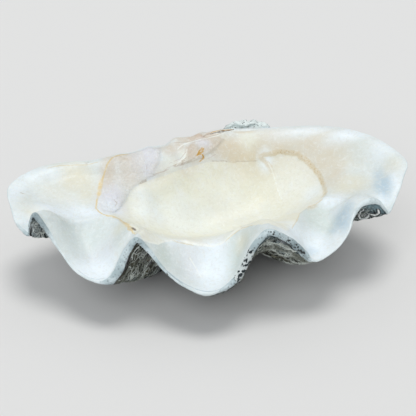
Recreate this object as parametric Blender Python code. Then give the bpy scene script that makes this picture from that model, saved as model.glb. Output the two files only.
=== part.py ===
"""One valve of a giant clam shell, lying on its outer side with the hollow up.

Metres, +Z up. +X runs along the shell, +Y from the scalloped lip to the hinge, and the floor is z = 0.
The outer side is grown: every older lip is today's lip made smaller about the umbo and turned about the
hinge line, which gives the ribs, their curl and the growth lines at once. The hollow is a smooth surface
through landmarks, kept above the outer side by the thickness of the shell.
"""

import bmesh
import bpy
import numpy as np
from mathutils import Vector
from mathutils.bvhtree import BVHTree

# The lip once round, as landmarks (x, y, z). A rib ends in a lobe that hangs low, and a notch is the
# furrow between two ribs. All landmarks share one frame, and moved_to_floor brings the finished shell
# from there to its own origin.
LIP = [
    (0.059, 0.199, 0.144),
    (0.107, 0.199, 0.150),
    (0.161, 0.195, 0.156),
    (0.219, 0.189, 0.160),
    (0.265, 0.172, 0.162),
    (0.308, 0.144, 0.160),
    (0.339, 0.106, 0.155),
    (0.361, 0.059, 0.145),
    (0.349, 0.026, 0.132),
    (0.333, -0.008, 0.116),
    (0.312, -0.036, 0.098),
    (0.299, -0.040, 0.112),
    (0.277, -0.047, 0.130),
    (0.258, -0.064, 0.118),
    (0.239, -0.097, 0.099),
    (0.214, -0.123, 0.080),
    (0.180, -0.141, 0.066),
    (0.168, -0.141, 0.068),
    (0.158, -0.139, 0.081),
    (0.128, -0.141, 0.111),
    (0.095, -0.144, 0.128),
    (0.076, -0.154, 0.110),
    (0.063, -0.166, 0.079),
    (0.046, -0.184, 0.055),
    (0.000, -0.200, 0.042),
    (-0.033, -0.191, 0.047),
    (-0.067, -0.174, 0.066),
    (-0.094, -0.153, 0.098),
    (-0.114, -0.155, 0.120),
    (-0.129, -0.159, 0.100),
    (-0.144, -0.171, 0.061),
    (-0.159, -0.175, 0.047),
    (-0.180, -0.172, 0.045),
    (-0.217, -0.152, 0.053),
    (-0.246, -0.126, 0.082),
    (-0.266, -0.106, 0.112),
    (-0.282, -0.098, 0.132),
    (-0.2935, -0.0910, 0.110),
    (-0.301, -0.086, 0.085),
    (-0.321, -0.080, 0.100),
    (-0.340, -0.042, 0.115),
    (-0.353, 0.003, 0.122),
    (-0.343, 0.026, 0.128),
    (-0.312, 0.055, 0.135),
    (-0.272, 0.077, 0.136),
    (-0.218, 0.086, 0.136),
    (-0.165, 0.107, 0.138),
    (-0.111, 0.134, 0.141),
    (-0.058, 0.162, 0.143),
    (0.004, 0.181, 0.143),
]

# Growth of the outer side. Each pair is where a change starts and where it is complete.
UMBO = np.array([0.084, 0.214, 0.1565])
HINGE_AXIS = np.array([1.0, 0.14, 0.02])
TURN_PER_E_FOLD = 1.25  # radians
OFF_HINGE = (0.05, 0.20)  # metres from the hinge line: nearer, the lip neither unfolds nor swells
FOLDS_APPEAR = (0.05, 0.30)  # sizes of the lip: the young shell had hardly any folds
BELLY = 0.048  # how far the walls swell beyond the plain spiral
LEFT_RIB_BELLY = 0.108  # more of it on the ribs beside the middle one
RIGHT_RIB_BELLY = 0.140
SIDE_RIBS_START = (0.03, 0.13)  # along x, either way
SIDE_RIBS_END = (0.22, 0.32)
BELLY_WAY = np.array([0.0, -0.5, -0.866])
LEDGES = (0.36, 0.52, 0.67, 0.80, 0.91)  # sizes of the lip at which growth paused
LEDGE_STEP = 0.008  # as a share of the size there

# Rim
NOTCHES = [(0.278, -0.044), (0.095, -0.144), (-0.114, -0.155), (-0.282, -0.098)]
NOTCH_REACH = 0.035
RIM_THICKNESS = 0.006
NOTCH_EXTRA = 0.005  # the rim is thicker in the notches
RIM_LEAN = 0.75  # how far the rim's outward way leans down

# Hollow
SPINE_SHARE = 0.55  # the middle of the hollow is a line this long beside the shell
SPINE_END = 0.20
SPINE_AT = (0.02, 0.045)
SPINE_SLANT = 0.08
BLEND_DEPTH = 0.030  # from the rim to where the hollow leaves the thin shell
FULL_THICKNESS_BY = 1.0 / 3.0  # of that blend
EDGE_DEPTH = 0.010  # the same blend on the hinge side, which has no thin edge
HINGE_SIDE_FROM = 0.04  # the y of the lip from which it counts as the hinge side
LEAST_THICKNESS = 0.007
THICKENING = 0.030  # thickness gained for each metre of way from the rim, at least
NOTHING_BELOW = -1.0  # the height of the outer side at a point of the plan that it does not reach

BROW = [  # the brow round the deep part, from the left notch to the right one
    (-0.265, -0.077, 0.110),
    (-0.235, -0.052, 0.085),
    (-0.197, -0.038, 0.083),
    (-0.167, -0.037, 0.088),
    (-0.135, -0.080, 0.100),
    (-0.094, -0.139, 0.100),
    (-0.071, -0.114, 0.086),
    (-0.038, -0.103, 0.079),
    (-0.005, -0.112, 0.077),
    (0.028, -0.111, 0.082),
    (0.054, -0.083, 0.092),
    (0.076, -0.103, 0.112),
    (0.125, -0.118, 0.110),
    (0.151, -0.067, 0.096),
    (0.178, -0.005, 0.090),
    (0.211, 0.017, 0.092),
    (0.243, -0.005, 0.098),
    (0.263, -0.026, 0.116),
]
SCOOPS = [  # the flutes between the brow and the lobes
    (-0.211, -0.070, 0.066),
    (-0.196, -0.103, 0.051),
    (-0.233, -0.092, 0.066),
    (-0.153, -0.120, 0.084),
    (0.000, -0.131, 0.054),
    (0.000, -0.164, 0.045),
    (-0.038, -0.146, 0.056),
    (0.039, -0.146, 0.068),
    (0.191, -0.071, 0.079),
    (0.183, -0.109, 0.071),
    (0.226, -0.060, 0.086),
    (0.319, -0.001, 0.106),
    (-0.316, -0.057, 0.110),
    (-0.302, -0.083, 0.098),
]
RIDGES = [(-0.115, -0.076, 0.094), (0.096, -0.080, 0.106), (0.271, -0.001, 0.118), (-0.276, -0.054, 0.116)]
BASIN = [
    (-0.014, -0.011, 0.036),
    (0.058, 0.013, 0.038),
    (-0.102, -0.030, 0.058),
    (0.131, 0.018, 0.056),
    (-0.015, 0.062, 0.038),
    (0.081, 0.098, 0.048),
    (-0.142, 0.023, 0.072),
    (0.173, 0.075, 0.067),
    (-0.090, 0.052, 0.062),
    (-0.166, -0.002, 0.082),
]
BACK_WALL = [(-0.013, 0.112, 0.104), (0.062, 0.142, 0.098), (0.122, 0.150, 0.098), (-0.071, 0.079, 0.100),
             (-0.115, 0.043, 0.096), (0.177, 0.128, 0.102), (0.206, 0.082, 0.092)]
HINGE_PLATE = [
    (-0.061, 0.124, 0.138),
    (-0.109, 0.102, 0.134),
    (-0.162, 0.073, 0.124),
    (-0.183, 0.090, 0.130),
    (-0.013, 0.140, 0.138),
    (-0.198, 0.029, 0.106),
    (-0.183, -0.001, 0.092),
    (-0.159, 0.029, 0.106),
    (-0.070, 0.092, 0.124),
    (-0.013, 0.120, 0.130),
]
ENDS = [(-0.263, 0.012, 0.115), (-0.315, 0.005, 0.119), (-0.258, -0.024, 0.101), (-0.242, 0.053, 0.128),
        (-0.219, 0.008, 0.107), (-0.328, -0.019, 0.112), (-0.299, -0.033, 0.114), (0.158, 0.168, 0.140),
        (0.082, 0.172, 0.136), (0.213, 0.140, 0.134), (0.268, 0.118, 0.138), (0.243, 0.064, 0.118),
        (0.287, 0.063, 0.125), (0.325, 0.073, 0.134), (0.327, 0.029, 0.122), (0.299, -0.001, 0.122)]
BROW_HEIGHT = 0.012
BROW_WIDTH = 0.025
BROW_SINK = 0.5  # the share of the brow's height by which the rest of the hollow is lowered
LIP_GIVE = 1e-6
INSIDE_GIVE = 4e-4  # how freely the plate may miss a landmark of the hollow, to stay smooth
TOOTH = [(-0.125, 0.046), (-0.070, 0.080), (-0.013, 0.112), (0.030, 0.134)]
TOOTH_HEIGHT = 0.003
TOOTH_WIDTH = 0.007

# Mesh
POINTS_AROUND = 144
POINTS_OF_FINE_LIP = 480
POINTS_HOLDING_PLATE = 96
RINGS_OF_FINE_SIDE = 60
SAMPLES_A_SPAN = 24
OUTER_SIZES = [0.05, 0.07, 0.095, 0.125, 0.16, 0.21, 0.28, 0.356, 0.364, 0.44, 0.515, 0.525, 0.60, 0.665,
               0.675, 0.74, 0.795, 0.805, 0.86, 0.905, 0.915, 0.96, 1.0]
INNER_WAYS = [1.0, 0.965, 0.925, 0.88, 0.835, 0.79, 0.745, 0.70, 0.65, 0.60, 0.54, 0.47, 0.39, 0.30, 0.20,
              0.10]
HALVE_OUTSIDE_BELOW = 0.30
QUARTER_OUTSIDE_BELOW = 0.15
HALVE_INSIDE_BELOW = 0.50
QUARTER_INSIDE_BELOW = 0.25
WORN_DEPTH = 0.010  # the ribs are worn flat where the shell rests

SHELL_COLOUR = (0.76, 0.75, 0.66, 1.0)
SHELL_ROUGHNESS = 0.35


def closed_curve(points, count):
    """A smooth closed curve through the landmarks: a centripetal Catmull-Rom spline, at count points."""
    points = np.asarray(points, float)
    n = len(points)
    samples = []
    for i in range(n):
        a, b, c, d = (points[(i + k) % n] for k in (-1, 0, 1, 2))
        ta = 0.0
        tb = ta + np.linalg.norm(b - a) ** 0.5
        tc = tb + np.linalg.norm(c - b) ** 0.5
        td = tc + np.linalg.norm(d - c) ** 0.5
        t = np.linspace(tb, tc, SAMPLES_A_SPAN, endpoint=False)[:, None]
        ab = (tb - t) / (tb - ta) * a + (t - ta) / (tb - ta) * b
        bc = (tc - t) / (tc - tb) * b + (t - tb) / (tc - tb) * c
        cd = (td - t) / (td - tc) * c + (t - tc) / (td - tc) * d
        abc = (tc - t) / (tc - ta) * ab + (t - ta) / (tc - ta) * bc
        bcd = (td - t) / (td - tb) * bc + (t - tb) / (td - tb) * cd
        samples.append((tc - t) / (tc - tb) * abc + (t - tb) / (tc - tb) * bcd)
    curve = np.vstack(samples)
    curve = np.vstack([curve, curve[:1]])
    at = np.linspace(0, len(curve) - 1, count, endpoint=False)
    return np.stack([np.interp(at, np.arange(len(curve)), curve[:, k]) for k in range(3)], axis=1)


def unit(vectors):
    return vectors / np.maximum(np.linalg.norm(vectors, axis=-1, keepdims=True), 1e-12)


def smoothstep(low, high, value):
    t = np.clip((value - low) / (high - low), 0.0, 1.0)
    return t * t * (3.0 - 2.0 * t)


def turned(vectors, axis, angle):
    """The vectors turned about the axis by the angle, in radians."""
    axis = axis / np.linalg.norm(axis)
    along = (vectors @ axis)[..., None] * axis
    across = vectors - along
    return along + across * np.cos(angle) + np.cross(axis, across) * np.sin(angle)


def rim_frame(lip):
    """The way out of the shell at each point of the lip, and how much of a notch it is."""
    ahead = unit(np.roll(lip, -1, axis=0) - np.roll(lip, 1, axis=0))
    plan = np.stack([ahead[:, 1], -ahead[:, 0], np.zeros(len(lip))], axis=1)
    middle = lip.mean(axis=0)
    if np.sum(plan * (lip - middle)) < 0:
        plan = -plan
    out = unit(plan) - np.array([0.0, 0.0, RIM_LEAN])
    out = unit(out - np.sum(out * ahead, axis=1, keepdims=True) * ahead)
    notch = np.zeros(len(lip))
    for x, y in NOTCHES:
        away = np.hypot(lip[:, 0] - x, lip[:, 1] - y)
        notch = np.maximum(notch, np.exp(-(away / NOTCH_REACH) ** 2))
    return out, notch


def rims(lip):
    """The outer and the inner edge of the lip."""
    out, notch = rim_frame(lip)
    outer = lip + out * (NOTCH_EXTRA + RIM_THICKNESS * 0.5) * notch[:, None]
    thickness = RIM_THICKNESS + NOTCH_EXTRA * notch
    return outer, outer - out * thickness[:, None]


def ledge(size):
    """How far a growth ledge stands out at this size of the lip."""
    edges = (0.0,) + LEDGES + (1.0,)
    step = int(np.searchsorted(edges, size)) - 1
    step = min(max(step, 0), len(edges) - 2)
    along = (size - edges[step]) / (edges[step + 1] - edges[step])
    height = 0.0 if step == len(edges) - 2 else LEDGE_STEP
    return height * along


def unfolded(lip):
    """The lip with its folds smoothed away."""
    reach = len(lip) // 8
    weights = np.hanning(2 * reach + 3)[1:-1]
    total = sum(w * np.roll(lip, k - reach, axis=0) for k, w in enumerate(weights))
    return total / weights.sum()


def side_rib_belly(x):
    """How far a rib beside the middle one swells beyond the others, from the x of its lip."""
    rib = smoothstep(*SIDE_RIBS_START, np.abs(x)) * (1.0 - smoothstep(*SIDE_RIBS_END, np.abs(x)))
    return rib * np.where(x > 0.0, RIGHT_RIB_BELLY, LEFT_RIB_BELLY)


def grown(lip, size):
    """The lip at an earlier size, as a share of today's."""
    from_hinge = np.linalg.norm(np.cross(lip - UMBO, unit(HINGE_AXIS)), axis=1)
    off_hinge = smoothstep(*OFF_HINGE, from_hinge)
    flattened = off_hinge * (1.0 - smoothstep(*FOLDS_APPEAR, size))
    young = lip + (unfolded(lip) - lip) * flattened[:, None]
    arm = turned(young - UMBO, HINGE_AXIS, -TURN_PER_E_FOLD * np.log(size))
    left_to_grow = 1.0 - size
    belly = BELLY + side_rib_belly(lip[:, 0]) * np.sqrt(left_to_grow)
    swell = off_hinge * size * left_to_grow * belly
    return UMBO + size * (1.0 + ledge(size) * off_hinge[:, None]) * arm + swell[:, None] * BELLY_WAY


def grid_faces(rings, around):
    return [(i * around + j, i * around + (j + 1) % around,
             (i + 1) * around + (j + 1) % around, (i + 1) * around + j)
            for i in range(rings - 1) for j in range(around)]


class OuterSide:
    """Finds the top of the thin shell, and of the outer side itself, under points of the plan."""

    def __init__(self, rim):
        sizes = np.geomspace(OUTER_SIZES[0], 1.0, RINGS_OF_FINE_SIDE)
        points = np.array([grown(rim, size) for size in sizes])
        across = np.gradient(points, axis=0)
        along = np.roll(points, -1, axis=1) - np.roll(points, 1, axis=1)
        inward = unit(np.cross(along, across))
        if inward[RINGS_OF_FINE_SIDE // 2:, :, 2].mean() < 0:
            inward = -inward
        way = np.linalg.norm(points - points[-1:], axis=2)[..., None]
        thickness = LEAST_THICKNESS + THICKENING * way
        faces = grid_faces(len(sizes), len(rim))
        self.bare = self.tree(points, faces)
        self.thin = self.tree(points + inward * thickness, faces)

    @staticmethod
    def tree(points, faces):
        return BVHTree.FromPolygons([Vector(p) for p in points.reshape(-1, 3)], faces)

    @staticmethod
    def heights(tree, plan):
        """The height of the first thing met from above at each point of the plan."""
        down = Vector((0.0, 0.0, -1.0))
        hits = [tree.ray_cast(Vector((x, y, 1.0)), down)[0] for x, y in plan]
        return np.array([NOTHING_BELOW if hit is None else hit.z for hit in hits])


class Landmarks:
    """A thin plate bent through landmarks: the height of the hollow over the plan."""

    def __init__(self, exact, near):
        points = np.vstack([exact, near])
        self.at = points[:, :2]
        n = len(points)
        give = np.concatenate([np.full(len(exact), LIP_GIVE), np.full(len(near), INSIDE_GIVE)])
        system = np.zeros((n + 3, n + 3))
        system[:n, :n] = self.kernel(self.at) + np.diag(give)
        system[:n, n] = 1.0
        system[:n, n + 1:] = self.at
        system[n:, :n] = system[:n, n:].T
        self.weights = np.linalg.solve(system, np.concatenate([points[:, 2], np.zeros(3)]))

    def kernel(self, plan):
        squared = np.sum((plan[:, None, :] - self.at[None, :, :]) ** 2, axis=2)
        return squared * np.log(squared + 1e-12) * 0.5

    def height(self, plan):
        n = len(self.at)
        return self.kernel(plan) @ self.weights[:n] + self.weights[n] + plan @ self.weights[n + 1:]


def distance_to_line(plan, line):
    """How far each point of the plan is from an open line."""
    line = np.asarray(line)[:, :2]
    best = np.full(len(plan), np.inf)
    for a, b in zip(line[:-1], line[1:]):
        way = b - a
        share = np.clip((plan - a) @ way / (way @ way), 0.0, 1.0)
        best = np.minimum(best, np.linalg.norm(plan - a - share[:, None] * way, axis=1))
    return best


def hollow(inner_rim, outer_side, plate, way):
    """One ring of the hollow: way is 1 at the lip and 0 on the middle line."""
    if way == 1.0:
        return inner_rim
    middle_x = np.clip(SPINE_AT[0] + SPINE_SHARE * inner_rim[:, 0], -SPINE_END, SPINE_END)
    middle = np.stack([middle_x, SPINE_AT[1] + SPINE_SLANT * middle_x], axis=1)
    plan = middle + way * (inner_rim[:, :2] - middle)
    from_rim = np.linalg.norm(plan - inner_rim[:, :2], axis=1)

    filled = plate.height(plan)
    filled += BROW_HEIGHT * (np.exp(-distance_to_line(plan, BROW) / BROW_WIDTH) - BROW_SINK)
    filled += TOOTH_HEIGHT * np.exp(-(distance_to_line(plan, TOOTH) / TOOTH_WIDTH) ** 2)

    thin = outer_side.heights(outer_side.thin, plan)
    bare = outer_side.heights(outer_side.bare, plan)
    left_rim = smoothstep(0.0, BLEND_DEPTH, from_rim)
    on_lobes = thin + left_rim * (filled - thin)
    at_hinge = inner_rim[:, 2] + smoothstep(0.0, EDGE_DEPTH, from_rim) * (filled - inner_rim[:, 2])
    over_thin_shell = (thin > NOTHING_BELOW) & (inner_rim[:, 1] < HINGE_SIDE_FROM)
    height = np.where(over_thin_shell, on_lobes, at_hinge)
    least = LEAST_THICKNESS * np.minimum(1.0, left_rim / FULL_THICKNESS_BY)
    return np.column_stack([plan, np.maximum(height, bare + least)])


def add_ring(mesh, points):
    return [mesh.verts.new(Vector(p)) for p in points]


def join_rings(mesh, first, second):
    """Faces between two rings. The second has as many points as the first, or half as many."""
    n = len(first)
    if len(second) == n:
        for j in range(n):
            k = (j + 1) % n
            mesh.faces.new((first[j], first[k], second[k], second[j]))
        return
    for j in range(n // 2):
        k = (j + 1) % (n // 2)
        a, b, c = first[2 * j], first[2 * j + 1], first[(2 * j + 2) % n]
        mesh.faces.new((a, b, second[j]))
        mesh.faces.new((b, second[k], second[j]))
        mesh.faces.new((b, c, second[k]))


def thinned(points, value, half_below, quarter_below):
    if value < quarter_below:
        return points[::4]
    if value < half_below:
        return points[::2]
    return points


def shell_rings():
    """Closed rings of points from the middle of the hollow, out over the lip and back to the umbo."""
    outer_side = OuterSide(rims(closed_curve(LIP, POINTS_OF_FINE_LIP))[0])
    lip_edge = rims(closed_curve(LIP, POINTS_HOLDING_PLATE))[1]
    inside = np.vstack([BROW, SCOOPS, RIDGES, BASIN, BACK_WALL, HINGE_PLATE, ENDS])
    plate = Landmarks(lip_edge, inside)
    outer_rim, inner_rim = rims(closed_curve(LIP, POINTS_AROUND))
    rings = []
    for way in reversed(INNER_WAYS):
        ring = hollow(inner_rim, outer_side, plate, way)
        rings.append(thinned(ring, way, HALVE_INSIDE_BELOW, QUARTER_INSIDE_BELOW))
    for size in reversed(OUTER_SIZES):
        ring = grown(outer_rim, size)
        rings.append(thinned(ring, size, HALVE_OUTSIDE_BELOW, QUARTER_OUTSIDE_BELOW))
    return rings


def moved_to_floor(rings):
    """The rings centred in the plan, with the lowest ribs worn flat on the floor."""
    points = np.vstack(rings)
    low = points.min(axis=0)
    high = points.max(axis=0)
    origin = np.array([(low[0] + high[0]) / 2, (low[1] + high[1]) / 2, low[2] + WORN_DEPTH])
    moved = [ring - origin for ring in rings]
    for ring in moved:
        ring[:, 2] = np.maximum(ring[:, 2], 0.0)
    return moved


def skinned(rings):
    """One closed mesh over the rings, capped in the middle of the hollow and at the umbo."""
    mesh = bmesh.new()
    loops = [add_ring(mesh, ring) for ring in rings]
    for first, second in zip(loops[:-1], loops[1:]):
        if len(first) >= len(second):
            join_rings(mesh, first, second)
        else:
            join_rings(mesh, second, first)
    bmesh.ops.triangulate(mesh, faces=[mesh.faces.new(loops[0])])
    last = loops[-1]
    tip = mesh.verts.new(sum((corner.co for corner in last), Vector()) / len(last))
    for first, second in zip(last, last[1:] + last[:1]):
        mesh.faces.new((first, second, tip))
    bmesh.ops.triangulate(mesh, faces=mesh.faces[:], quad_method="SHORT_EDGE")
    bmesh.ops.recalc_face_normals(mesh, faces=mesh.faces[:])
    return mesh


def shell_material():
    material = bpy.data.materials.new("shell_white")
    material.use_nodes = True
    surface = material.node_tree.nodes["Principled BSDF"]
    surface.inputs["Base Color"].default_value = SHELL_COLOUR
    surface.inputs["Roughness"].default_value = SHELL_ROUGHNESS
    return material


def main():
    for thing in list(bpy.data.objects):
        bpy.data.objects.remove(thing)
    mesh = skinned(moved_to_floor(shell_rings()))
    data = bpy.data.meshes.new("clam_shell")
    mesh.to_mesh(data)
    mesh.free()
    data.materials.append(shell_material())
    shell = bpy.data.objects.new("clam_shell", data)
    bpy.context.scene.collection.objects.link(shell)


main()
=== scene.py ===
"""The looks of one giant clam valve: its fine surface and colours, the worm tubes on it, floor and light.

Metres, in the frame of the CAD part, apart from the tables that say millimetres. The surface is grown by
the part's own rule from the part's own landmarks, on a finer grid, so it lies where the solid lies. Marks
that belong to one place, such as the muscle scar, are named points of the photograph's frame, which a ray
from the camera sets on the surface.
"""

import math

import bmesh
import bpy
import numpy as np
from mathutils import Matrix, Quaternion, Vector, noise
from mathutils.bvhtree import BVHTree


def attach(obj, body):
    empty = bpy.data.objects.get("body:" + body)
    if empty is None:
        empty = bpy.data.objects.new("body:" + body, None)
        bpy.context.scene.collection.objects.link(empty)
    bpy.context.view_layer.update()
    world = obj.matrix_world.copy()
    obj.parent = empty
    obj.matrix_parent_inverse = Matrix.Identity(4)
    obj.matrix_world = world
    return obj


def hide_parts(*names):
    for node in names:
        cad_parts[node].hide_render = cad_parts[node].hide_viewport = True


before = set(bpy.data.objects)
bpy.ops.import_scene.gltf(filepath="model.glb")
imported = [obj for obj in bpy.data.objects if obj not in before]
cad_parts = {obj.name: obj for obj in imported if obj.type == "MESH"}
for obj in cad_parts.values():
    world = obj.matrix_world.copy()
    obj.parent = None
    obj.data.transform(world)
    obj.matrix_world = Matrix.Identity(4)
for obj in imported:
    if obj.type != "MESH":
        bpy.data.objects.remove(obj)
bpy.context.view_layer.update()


def in_metres(rows):
    return np.array(rows) / 1000.0


# Camera, as the photograph was taken
IMAGE_SIZE = 416
ELEVATION = math.radians(30.0)
DISTANCE = 1.32
LOOK_AT = Vector((-0.0040, -0.0297, 0.1272))
LENS = 64.0
SENSOR = 36.0
FOCAL = LENS / SENSOR * IMAGE_SIZE  # pixels
EYE = LOOK_AT + DISTANCE * Vector((0.0, -math.cos(ELEVATION), math.sin(ELEVATION)))

# From the frame of the landmarks below to the part's frame
TO_PART = np.array([-0.00386, -0.02971, 0.04224])

# The lip once round, as landmarks (x, y, z) in millimetres. A rib ends in a lobe that hangs low, and a
# notch is the furrow between two ribs.
LIP = in_metres([
    (59, 199, 144), (107, 199, 150), (161, 195, 156), (219, 189, 160), (265, 172, 162), (308, 144, 160),
    (339, 106, 155), (361, 59, 145), (349, 26, 132), (333, -8, 116), (312, -36, 98), (301, -40, 112),
    (289, -43, 126), (272, -50, 132), (256, -58, 127), (245, -72, 112), (235, -99, 96), (214, -123, 80),
    (180, -141, 66), (168, -141, 68), (158, -139, 81), (128, -141, 111), (95, -144, 128), (76, -154, 110),
    (63, -166, 79), (46, -184, 55), (0, -200, 42), (-33, -191, 47), (-67, -174, 66), (-94, -153, 98),
    (-114, -155, 120), (-129, -159, 100), (-144, -171, 61), (-159, -175, 47), (-180, -172, 45),
    (-217, -152, 53), (-246, -126, 82), (-266, -106, 112), (-282, -98, 132), (-293.5, -91, 110),
    (-301, -86, 85), (-321, -80, 100), (-340, -42, 115), (-353, 3, 122), (-343, 26, 128), (-312, 55, 135),
    (-272, 77, 136), (-218, 86, 136), (-165, 107, 138), (-111, 134, 141), (-58, 162, 143), (4, 181, 143),
])

# Growth of the outer side. Each pair is where a change starts and where it is complete.
UMBO = np.array([0.084, 0.214, 0.1565])
HINGE_AXIS = np.array([1.0, 0.14, 0.02])
TURN_PER_E_FOLD = 1.25  # radians
OFF_HINGE = (0.05, 0.20)  # metres from the hinge line: nearer, the lip neither unfolds nor swells
FOLDS_APPEAR = (0.05, 0.30)  # sizes of the lip: the young shell had hardly any folds
BELLY = 0.048  # how far the walls swell beyond the plain spiral
LEFT_RIB_BELLY = 0.108  # more of it on the ribs beside the middle one
RIGHT_RIB_BELLY = 0.140
SIDE_RIBS_START = (0.03, 0.13)  # along x, either way
SIDE_RIBS_END = (0.22, 0.32)
BELLY_WAY = np.array([0.0, -0.5, -0.866])
LEDGES = (0.36, 0.52, 0.67, 0.80, 0.91)  # sizes of the lip at which growth paused
LEDGE_STEP = 0.008  # as a share of the size there

# Rim
NOTCHES = [(0.278, -0.044), (0.095, -0.144), (-0.114, -0.155), (-0.282, -0.098)]
NOTCH_REACH = 0.035
RIM_THICKNESS = 0.0035
NOTCH_EXTRA = 0.0075  # the rim is thicker in the notches
RIM_SWELLS = [  # more thick places: x, y, reach, how much further out the rim lies, how much thicker it is
    (-0.146, -0.171, 0.024, 0.000, 0.0095),
    (0.060, -0.166, 0.030, 0.000, 0.0065),
    (0.040, -0.187, 0.022, 0.000, 0.0040),
    (0.140, -0.140, 0.026, 0.006, 0.0080),
    (0.262, -0.058, 0.024, 0.002, 0.0020),
]
RIM_LEAN = 0.75  # how far the rim's outward way leans down

# Hollow
SPINE_SHARE = 0.55  # the middle of the hollow is a line this long beside the shell
SPINE_END = 0.20
SPINE_AT = (0.02, 0.045)
SPINE_SLANT = 0.08
BLEND_DEPTH = 0.030  # from the rim to where the hollow leaves the thin shell
FULL_THICKNESS_BY = 1.0 / 3.0  # of that blend
EDGE_DEPTH = 0.060  # the same blend on the hinge side, which has no thin edge
HINGE_SIDE_FROM = 0.04  # the y of the lip from which it counts as the hinge side
LEAST_THICKNESS = 0.007
THICKENING = 0.030  # thickness gained for each metre of way from the rim, at least
THINNEST = 0.0032  # kept between the hollow and the outer side, measured across the shell
THINNEST_BY = 0.006  # of way from the rim
SOUGHT_WITHIN = 0.014  # metres: how far from a point of the hollow the outer side is looked for
NOTHING_BELOW = -1.0  # the height of the outer side at a point of the plan that it does not reach

BROW = in_metres([  # the brow round the deep part, from the left notch to the right one
    (-265, -77, 110), (-235, -52, 85), (-197, -38, 83), (-167, -37, 88), (-135, -80, 100),
    (-94, -139, 100), (-71, -114, 86), (-38, -103, 79), (-5, -112, 77), (28, -111, 82), (54, -83, 92),
    (76, -103, 112), (125, -118, 110), (151, -67, 96), (178, -5, 90), (211, 17, 92), (243, -5, 98),
    (263, -26, 116),
])
SCOOPS = in_metres([  # the flutes between the brow and the lobes
    (-211, -70, 66), (-196, -103, 51), (-233, -92, 66), (-153, -120, 84), (0, -131, 54), (0, -164, 45),
    (-38, -146, 56), (39, -146, 68), (191, -71, 79), (183, -109, 71), (226, -60, 86), (319, -1, 106),
    (-316, -57, 110), (-302, -83, 98),
])
RIDGES = in_metres([
    (-115, -76, 94), (96, -80, 106), (271, -1, 118), (-276, -54, 116),
])
BASIN = in_metres([
    (-14, -11, 36), (58, 13, 38), (-102, -30, 58), (131, 18, 56), (-15, 62, 38), (81, 98, 48),
    (-142, 23, 72), (173, 75, 67), (-90, 52, 62), (-166, -2, 82),
])
BACK_WALL = in_metres([
    (-13, 112, 104), (62, 142, 98), (122, 150, 98), (-71, 79, 100), (-115, 43, 96), (177, 128, 102),
    (206, 82, 92),
])
HINGE_PLATE = in_metres([
    (-61, 124, 138), (-109, 102, 134), (-162, 73, 124), (-183, 90, 130), (-13, 140, 138), (-198, 29, 106),
    (-183, -1, 92), (-159, 29, 106), (-70, 92, 124), (-13, 120, 130),
])
ENDS = in_metres([
    (-263, 12, 115), (-315, 5, 119), (-258, -24, 101), (-242, 53, 128), (-219, 8, 107), (-328, -19, 112),
    (-299, -33, 114), (158, 168, 140), (82, 172, 136), (213, 140, 134), (268, 118, 138), (243, 64, 118),
    (287, 63, 125), (325, 73, 134), (327, 29, 122), (299, -1, 122),
])
BROW_HEIGHT = 0.012
BROW_WIDTH = 0.025
BROW_SINK = 0.5  # the share of the brow's height by which the rest of the hollow is lowered
LIP_GIVE = 1e-6
INSIDE_GIVE = 4e-4  # how freely the plate may miss a landmark of the hollow, to stay smooth
TOOTH = in_metres([
    (-125, 46), (-70, 80), (-13, 112), (30, 134),
])
TOOTH_HEIGHT = 0.003
TOOTH_WIDTH = 0.007

# Fine mesh
POINTS_AROUND = 640
POINTS_OF_FINE_LIP = 480
POINTS_HOLDING_PLATE = 96
RINGS_OF_FINE_SIDE = 150
SMOOTHED_OUT_WAY = 0.012  # of the way round the lip, to either side
SAMPLES_A_SPAN = 24
INNER_WAYS = np.concatenate([np.linspace(1.0, 0.62, 30, endpoint=False), np.linspace(0.62, 0.015, 28)])
OUTER_SIZES = np.concatenate([np.linspace(1.0, 0.75, 44, endpoint=False),
                              np.linspace(0.75, 0.42, 34, endpoint=False), np.linspace(0.42, 0.05, 26)])
HALVE_INSIDE_BELOW = 0.62
QUARTER_INSIDE_BELOW = 0.20
HALVE_OUTSIDE_BELOW = 0.42
QUARTER_OUTSIDE_BELOW = 0.15
RIM_STEPS = 5
RIM_BULGE = 0.30  # of the lip's thickness
JUST_YOUNGER = 0.97  # the size of a lip by which the way that it grows is told
LIP_SIDE = (0.2, 0.8)  # how far to the outer side the first and the last ring of the lip's edge count
NEARLY_NOTHING = 1e-12  # keeps a division from failing

# Edge of the lip
THICK_LIP = (0.0040, 0.0085)  # metres: where the look of the thick lip starts and is complete
NEAR_NOTCH = (0.02, 0.35)  # the same for the share of a notch
WHITE_RIM = (0.20, 0.25)  # the x over which even a thick rim turns almost white
WHITE_SHARE = 0.65
THIN_MARGIN = 0.014  # how far the outer side stays pale from the thin lip
THICK_MARGIN = 0.0018  # and from the thick lip of a notch
LIP_SPOTS = {  # across and down in pixels, reach in millimetres, strength
    "pitted": [
        (168, 274, 10, 0.8), (176, 281, 8, 0.6), (276, 232, 16, 0.7), (286, 238, 18, 1),
        (294, 244, 16, 1), (301, 250, 16, 1), (242, 268, 20, 1), (250, 254, 14, 0.5),
    ],
    "band": [
        (148, 248, 14, 1), (154, 256, 14, 1), (160, 264, 14, 1), (166, 271, 12, 0.9), (173, 278, 12, 0.7),
        (182, 284.5, 12, 0.5), (222, 290, 12, 0.7), (230, 285, 12, 0.9), (36, 215, 14, 1),
        (43, 221, 14, 1), (49, 229, 10, 0.8),
    ],
    "darker": [
        (243, 267, 14, 0.9), (251, 253, 12, 0.6), (46, 228, 10, 0.8), (36, 216, 16, 0.8),
        (43, 222, 14, 0.8), (286, 239, 14, 0.5), (295, 246, 14, 0.9), (302, 251, 12, 1),
        (246, 262, 12, 0.5),
    ],
}
PALE_BY_UMBO = (0.030, 0.100)  # metres from it
SHELTERED_UNTIL = (0.03, 0.12)  # the y over which the crust turns from dark to bleached

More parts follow.
